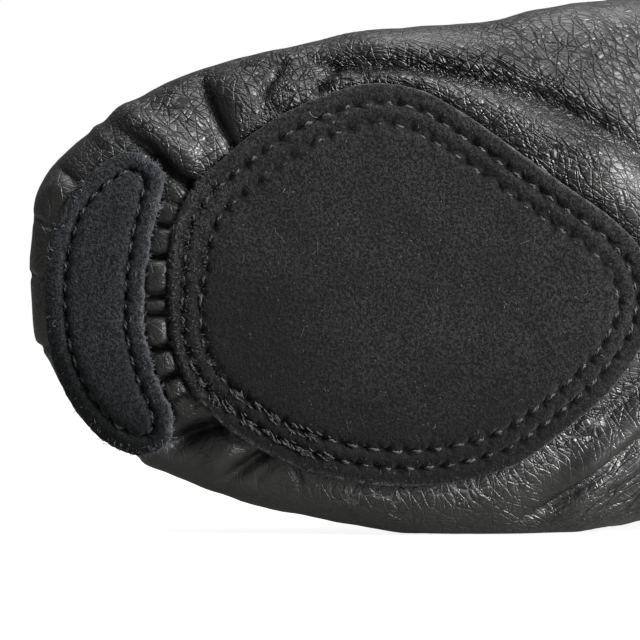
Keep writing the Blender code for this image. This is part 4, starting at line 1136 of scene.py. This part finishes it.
def pad_stitches(pad, name, material, thick, high, shown, doubled=None):
    """Rows of lock stitches in a pad: the thread comes up at a hole, lies over the suede and goes down at the next.
    Where the seam is sewn over a second time, loose slanting strands lie over the first ones."""
    tubes = Tubes(6)
    random = pad.random
    for row, holes in zip(pad.rows, pad.stitches):
        n = len(holes)
        floor = float(pad.lift(np.array([row]))[0]) - pad.hole[2]
        for i in range(n):
            a, b = holes[i], holes[(i + 1) % n]
            along = (b - a) / max(np.hypot(*(b - a)), 1e-6)
            side = np.array([-along[1], along[0]])
            start, end = shown[0] + 0.05 * random.normal(), shown[1] + 0.05 * random.normal()
            f = np.linspace(start, end, 12)
            swell = np.sin(np.linspace(0, math.pi, 12))
            flat = a + (b - a) * f[:, None] + side * (0.12 * random.normal() * swell)[:, None]
            foot, normals = UNDERSIDE.frame(flat)
            path = foot + normals * (floor - 0.55 + (high + 0.08 * random.normal()) * np.sqrt(swell))[:, None]
            twisted_stitch(tubes, path, normals, thick * (1.0 + 0.08 * random.normal()), 1.9, random.uniform(0, 6.28), 0.75 * random.beta(1.0, 1.6) * pad.shade(a))
            if doubled is None or not doubled(*(a + b) / 2):
                continue
            for _ in range(random.integers(9, 15)):
                middle = a + (b - a) * random.normal(0.5, 0.26) + side * random.uniform(-0.85, 0.85)
                slant = random.normal(-0.36, 0.16)
                way = along * math.cos(slant) + side * math.sin(slant)
                half = random.uniform(0.35, 0.70)
                flat = middle + way * np.linspace(-half, half, 8)[:, None]
                foot, normals = UNDERSIDE.frame(flat)
                arch = np.sin(np.linspace(0, math.pi, 8))
                path = foot + normals * (floor - 0.15 + random.uniform(0.45, 0.8) * np.sqrt(arch))[:, None]
                across, up = cross_frame(path, normals)
                tubes.add(path, across, up, random.uniform(0.08, 0.13) * (0.55 + 0.45 * arch), random.uniform(0.25, 0.9))
    return tubes.make(name, material, pad.slot)


def hem_stitches(below, pitch, thick):
    """One row of stitches round the collar that holds its turned hem."""
    line, normals = np.empty((AROUND, 3)), np.empty((AROUND, 3))
    for j in range(AROUND):
        drop = BASE[-1, j, 1] - BASE[-30:, j, 1]
        for axis in range(3):
            line[j, axis] = np.interp(-below, -drop, OUTER[-30:, j, axis])
            normals[j, axis] = np.interp(-below, -drop, NORMALS[-30:, j, axis])
    closed = np.vstack([line, line[:1]])
    path = np.concatenate([[0.0], np.cumsum(np.linalg.norm(np.diff(closed, axis=0), axis=1))])
    facing = np.vstack([normals, normals[:1]])
    count = int(round(path[-1] / pitch))
    tubes, random = Tubes(6), np.random.default_rng(31)
    for i in range(count):
        at = (i + np.linspace(0.12, 0.84, 9)) * path[-1] / count
        spot = np.column_stack([np.interp(at, path, closed[:, axis]) for axis in range(3)])
        out = np.column_stack([np.interp(at, path, facing[:, axis]) for axis in range(3)])
        rise = -0.22 + 0.42 * np.sqrt(np.sin(np.linspace(0, math.pi, 9)))
        twisted_stitch(tubes, spot + out * rise[:, None], out, thick, 1.9, random.uniform(0, 6.28), 0.25 + 0.35 * random.uniform())
    return tubes.make("hem_stitches", THREAD, "upper_leather")


# ---- loose fibres -----------------------------------------------------------------------------------
def edge_fibres(tubes, pad, count, wanted, length, radius, seed, inside=1.3):
    """Fine fibres that stand out of a pad's cut edge, or lie some way inside it, where wanted gives them a share."""
    random = np.random.default_rng(seed)
    share = np.maximum(wanted(pad.plain, pad.out), 0.0)
    chosen = random.choice(len(share), count, p=share / share.sum())
    for i in chosen:
        back = random.uniform(-0.05, 1.0) ** 2 * inside
        out, spot = pad.out[i], pad.edge[i] - pad.out[i] * back + random.normal(0, 0.12, 2)
        turn = random.normal(0, 0.8)
        way = np.array([out[0] * math.cos(turn) - out[1] * math.sin(turn), out[0] * math.sin(turn) + out[1] * math.cos(turn)])
        long, bend = random.uniform(*length), random.normal(0, 0.5)
        f = np.linspace(0, 1, 4)
        flat = spot + long * (way * f[:, None] + np.array([-way[1], way[0]]) * (bend * f * f)[:, None])
        foot, normals = UNDERSIDE.frame(flat[:1])
        foot = np.column_stack([flat[:, 0], np.full(4, foot[0, 1]), flat[:, 1]])
        normals = np.repeat(normals, 4, axis=0)
        start = float(pad.lift(np.array([max(back, 0.0)]))[0]) - 0.05
        rise = start * (1 - 0.30 * f * max(0.0, 1 - back)) + random.uniform(-0.1, 0.55) * long * f
        path = foot + normals * rise[:, None]
        across, up = cross_frame(path, normals)
        tubes.add(path, across, up, random.uniform(*radius) * np.array([1.0, 0.95, 0.8, 0.35]), random.uniform(0, 1))


def lint(tubes, pad, count, length, radius, seed):
    """Short bent hairs and specks of dust that lie on a pad's face."""
    random = np.random.default_rng(seed)
    low, high = pad.plain.min(axis=0), pad.plain.max(axis=0)
    spots = low + (high - low) * np.column_stack([random.beta(1.4, 2.0, count * 3), random.uniform(0, 1, count * 3)])
    spots = spots[edge_depth(spots, pad.plain) > 1.0][:count]
    for spot in spots:
        long = length[0] + (length[1] - length[0]) * random.uniform(0, 1) ** 5
        turn, bend = random.uniform(0, 6.28), random.normal(0, 0.55)
        angle = turn + bend * np.linspace(-1, 1, 6)
        flat = spot + np.cumsum(np.column_stack([np.cos(angle), np.sin(angle)]), axis=0) * long / 6
        foot, normals = UNDERSIDE.frame(flat)
        path = foot + normals * (float(pad.lift(np.array([9.0]))[0]) + 0.06 + 0.05 * random.uniform(0, 1))
        across, up = cross_frame(path, normals)
        tubes.add(path, across, up, random.uniform(*radius) * np.array([0.6, 1, 1, 1, 1, 0.5]), random.uniform(0, 1) ** 2)


RINGS_FINE = [0.12, 0.28, 0.5, 0.8, 1.25, 1.65, 2.0, 2.3, 2.55, 2.8, 3.05, 3.3, 3.55, 3.8, 4.05, 4.35, 4.75, 5.15, 5.5, 5.8, 6.05,
              6.3, 6.55, 6.8, 7.05, 7.35, 7.75]

def frayed_sole(edge, out):
    return 0.10 + 0.42 * smooth(37.0, 30.0, edge[:, 0])


def frayed_toe(edge, out):
    return 0.20 + 0.34 * smooth(0.2, 0.8, out[:, 0])


def even_fray(edge, out):
    return np.full(len(edge), 0.10)


# Paleness of the cut edge by the way it faces, for the soles here and the toe pad below: partly the suede's own paler
# edge, partly painted highlight
def pale_sole(out):
    outer_front, inner_back = -0.40 * out[:, 0] - 0.92 * out[:, 1], 0.60 * out[:, 0] + 0.80 * out[:, 1]
    return 0.07 + 0.90 * smooth(0.80, 0.97, outer_front) + 0.28 * smooth(0.80, 0.98, inner_back)


def pale_toe(out):
    return np.clip(0.30 + 0.70 * smooth(-0.2, 0.7, out[:, 0]) * smooth(0.80, 0.35, out[:, 1]), 0.0, 1.0)


forefoot = Pad("forefoot_sole_suede", "forefoot_sole", "sole_suede", FOREFOOT_EDGE, SOLE_THICK, SUEDE, (3.3, 6.5), 3.9, 0.85,
               RINGS_FINE, 0.55, 0.46, 11, (1.25, 0.74, 0.36), frayed_sole, pale_sole, 1.1, (0.45, 0.95))
toe = Pad("toe_pad_suede", "toe_pad", "toe_suede", TOE_EDGE, TOE_PAD_THICK, TOE_SUEDE, (3.3,), 3.6, 0.6,
          [0.12, 0.28, 0.5, 0.8, 1.2, 1.55, 1.9, 2.2, 2.45, 2.65, 2.85, 3.05, 3.3, 3.55, 3.8, 4.1, 4.5], 0.45, 0.75, 12,
          (1.35, 0.50, 0.42), frayed_toe, pale_toe)
heel = Pad("heel_sole_suede", "heel_sole", "sole_suede", HEEL_EDGE, SOLE_THICK, SUEDE, (3.3, 6.5), 3.9, 0.85,
           RINGS_FINE, 0.55, 0.46, 13, (1.25, 0.74, 0.36), even_fray, pale_sole)


def build_insole():
    """Thin fabric sock that lies on the lining, soft enough to follow it."""
    edge = INSOLE_EDGE
    low, high = edge.min(axis=0), edge.max(axis=0)
    rings = [edge] + [even_points(inset(edge, e), len(edge)) for e in (0.5, 1.2, 2.4)]
    s = 2.2
    grid = np.array([(d, z) for d in np.arange(low[0], high[0], s) for z in np.arange(low[1], high[1], s)])
    grid = grid[edge_depth(grid, edge) > 3.6]
    count = len(edge)
    border = [(i, (i + 1) % count) for i in range(count)]
    made = geometry.delaunay_2d_cdt([Vector(p) for p in np.vstack(rings + [grid])], border, [], 1, 1e-5)
    flat = np.array([tuple(p) for p in made[0]])
    faces = np.array([f for f in made[2] if len(f) == 3])
    origin = {}
    for i, sources in enumerate(made[3]):
        for source in sources:
            if source < count:
                origin[source] = i
    rim = np.array([origin[i] for i in range(count)])
    depth = np.maximum(edge_depth(flat, edge), 0.0)
    foot, normals = UNDERSIDE.frame(flat, 1.5)
    # the deepest fold of the leather under each point
    keep = np.minimum(np.arange(AROUND), AROUND - 1 - np.arange(AROUND)) <= LOW_COUNT
    spots, dips = BASE[:, keep][..., [0, 2]].reshape(-1, 2), HEIGHT[:, keep].ravel()
    tree = KDTree(len(spots))
    for i, p in enumerate(spots):
        tree.insert((p[0], p[1], 0.0), i)
    tree.balance()
    pushed = np.array([min([dips[i] for _, i, _ in tree.find_range((p[0], p[1], 0.0), 4.0)] + [0.0]) for p in flat])
    inward = -np.minimum(pushed, 0.0)
    f = np.clip(depth / 0.8, 0.0, 1.0)
    lower = foot - normals * (WALL + GAP + inward)[:, None]
    upper = foot - normals * (WALL + GAP + inward + 0.3 + (INSOLE_THICK - 0.3) * np.sqrt(1 - (1 - f) ** 2))[:, None]
    shift = len(lower)
    a, b, c = upper[faces[:, 0]], upper[faces[:, 1]], upper[faces[:, 2]]
    turn = np.cross(b - a, c - a)[:, 1] < 0
    faces[turn] = faces[turn][:, ::-1]
    ahead = np.roll(np.arange(count), -1)
    wall = np.column_stack([rim, rim[ahead], rim[ahead] + shift, rim + shift])
    points = np.vstack([upper, lower])
    middle = edge.mean(axis=0)
    n = np.cross(points[wall[0, 1]] - points[wall[0, 0]], points[wall[0, 3]] - points[wall[0, 0]])
    if n[0] * (edge[0, 0] - middle[0]) + n[2] * (edge[0, 1] - middle[1]) < 0:
        wall = wall[:, ::-1]
    return add_mesh("insole_sock", points, [np.vstack([faces, faces[:, ::-1] + shift]), wall], [SOCK], "insole")


build_upper()
for pad in (forefoot, toe, heel):
    pad.make()
pad_stitches(forefoot, "forefoot_stitches", THREAD, 0.60, 0.54, (0.31, 0.70), lambda d, z: 32.0 < d < 56.0 and z < 27.5)
pad_stitches(toe, "toe_stitches", TOE_THREAD, 0.60, 0.42, (0.24, 0.76))
pad_stitches(heel, "heel_stitches", THREAD, 0.60, 0.54, (0.31, 0.70))
hem_stitches(9.5, 3.2, 0.55)
fuzz = Tubes(3)
edge_fibres(fuzz, toe, 900, lambda edge, out: 0.25 + 1.0 * smooth(0.0, 0.8, out[:, 0]) + 0.6 * smooth(26.0, 18.0, edge[:, 1]), (0.30, 0.95), (0.035, 0.055), 21, 1.7)
edge_fibres(fuzz, toe, 36, lambda edge, out: np.exp(-((edge[:, 0] - 23.8) / 1.2) ** 2 - ((edge[:, 1] - 61.2) / 0.8) ** 2), (0.5, 1.2), (0.05, 0.07), 22)
fuzz.make("toe_fibres", FIBRE, "toe_suede")
fuzz = Tubes(3)
edge_fibres(fuzz, forefoot, 980, lambda edge, out: 0.05 + smooth(37.0, 29.0, edge[:, 0]) + 0.25 * smooth(-0.2, -0.8, out[:, 1]), (0.2, 0.7), (0.03, 0.05), 23)
edge_fibres(fuzz, forefoot, 1300, lambda edge, out: smooth(38.0, 30.0, edge[:, 0]), (0.15, 0.5), (0.03, 0.05), 26, 7.0)
fuzz.make("sole_fibres", SOLE_FIBRE, "sole_suede")
dust = Tubes(4)
lint(dust, forefoot, 190, (0.18, 3.0), (0.022, 0.042), 24)
lint(dust, toe, 26, (0.18, 1.4), (0.025, 0.045), 25)
dust.make("lint_hairs", LINT, "sole_suede")
build_insole()


# ---- studio -----------------------------------------------------------------------------------------
def build_studio():
    scene = bpy.context.scene
    scene.view_settings.view_transform = "Standard"
    floor_mesh = bpy.data.meshes.new("floor")
    reach = 6.0
    floor_mesh.from_pydata([(-reach, -reach, -0.0002), (reach, -reach, -0.0002), (reach, reach, -0.0002), (-reach, reach, -0.0002)], [], [(0, 1, 2, 3)])
    floor = bpy.data.objects.new("floor", floor_mesh)
    scene.collection.objects.link(floor)
    paint = Paint("floor_white")
    behind = paint.node("ShaderNodeSeparateXYZ", {0: paint.place()}).outputs[1]
    seen = paint.node("ShaderNodeLightPath").outputs["Is Camera Ray"]
    glow = paint.math("MULTIPLY", paint.range(behind, -0.06, 0.30, 0.90, 1.0), seen)
    mirrored = paint.math("MULTIPLY", paint.node("ShaderNodeLightPath").outputs["Is Glossy Ray"], 0.085)
    glow = paint.math("ADD", glow, mirrored)
    tint = paint.mix(paint.range(paint.noise(paint.place(), 3.0), 0.3, 0.7), (0.17, 0.17, 0.166, 1), (0.19, 0.19, 0.186, 1))
    glow_tint = paint.mix(seen, (1.0, 0.98, 0.88, 1), (1, 1, 1, 1))
    paint.set(Base_Color=tint, Roughness=0.9, Emission_Color=glow_tint, Emission_Strength=glow)
    floor_mesh.materials.append(paint.material)

    world = bpy.data.worlds.new("studio")
    scene.world = world
    world.use_nodes = True
    tree = world.node_tree
    tree.nodes.clear()
    path = tree.nodes.new("ShaderNodeLightPath")
    place = tree.nodes.new("ShaderNodeTexCoord")
    split = tree.nodes.new("ShaderNodeSeparateXYZ")
    tree.links.new(place.outputs["Generated"], split.inputs[0])
    ramp = tree.nodes.new("ShaderNodeMapRange")
    ramp.inputs[1].default_value, ramp.inputs[2].default_value = -0.1, 1.0
    ramp.inputs[3].default_value, ramp.inputs[4].default_value = 0.10, 0.45
    tree.links.new(split.outputs[2], ramp.inputs[0])
    seen, light = tree.nodes.new("ShaderNodeBackground"), tree.nodes.new("ShaderNodeBackground")
    seen.inputs[0].default_value, seen.inputs[1].default_value = (1, 1, 1, 1), 1.0
    light.inputs[0].default_value = (1, 1, 1, 1)
    tree.links.new(ramp.outputs[0], light.inputs[1])
    mix = tree.nodes.new("ShaderNodeMixShader")
    out = tree.nodes.new("ShaderNodeOutputWorld")
    tree.links.new(path.outputs["Is Camera Ray"], mix.inputs[0])
    tree.links.new(light.outputs[0], mix.inputs[1])
    tree.links.new(seen.outputs[0], mix.inputs[2])
    tree.links.new(mix.outputs[0], out.inputs[0])

    for name, spot, aim, size, power in (
            ("key", (0.66, -0.54, 0.36), (-0.03, -0.05, 0.05), (0.50, 0.50), 34.0),
            ("top", (0.06, -0.12, 0.80), (-0.03, -0.05, 0.06), (0.70, 0.50), 7.2)):
        lamp = bpy.data.lights.new(name, "AREA")
        lamp.shape = "RECTANGLE"
        lamp.size, lamp.size_y, lamp.energy = size[0], size[1], power
        body = bpy.data.objects.new(name, lamp)
        body.location = spot
        body.rotation_mode = "QUATERNION"
        body.rotation_quaternion = (Vector(aim) - Vector(spot)).to_track_quat("-Z", "Y")
        scene.collection.objects.link(body)

    camera = bpy.data.cameras.new("camera")
    camera.sensor_width = 36.0
    camera.lens = 36.0 * 0.70 / 0.1185
    camera.clip_start, camera.clip_end = 0.01, 20.0
    body = bpy.data.objects.new("camera", camera)
    body.location = (-0.0692, -0.764, 0.0403)
    body.rotation_euler = (math.pi / 2, 0.0, 0.0)
    scene.collection.objects.link(body)
    scene.camera = body


build_studio()
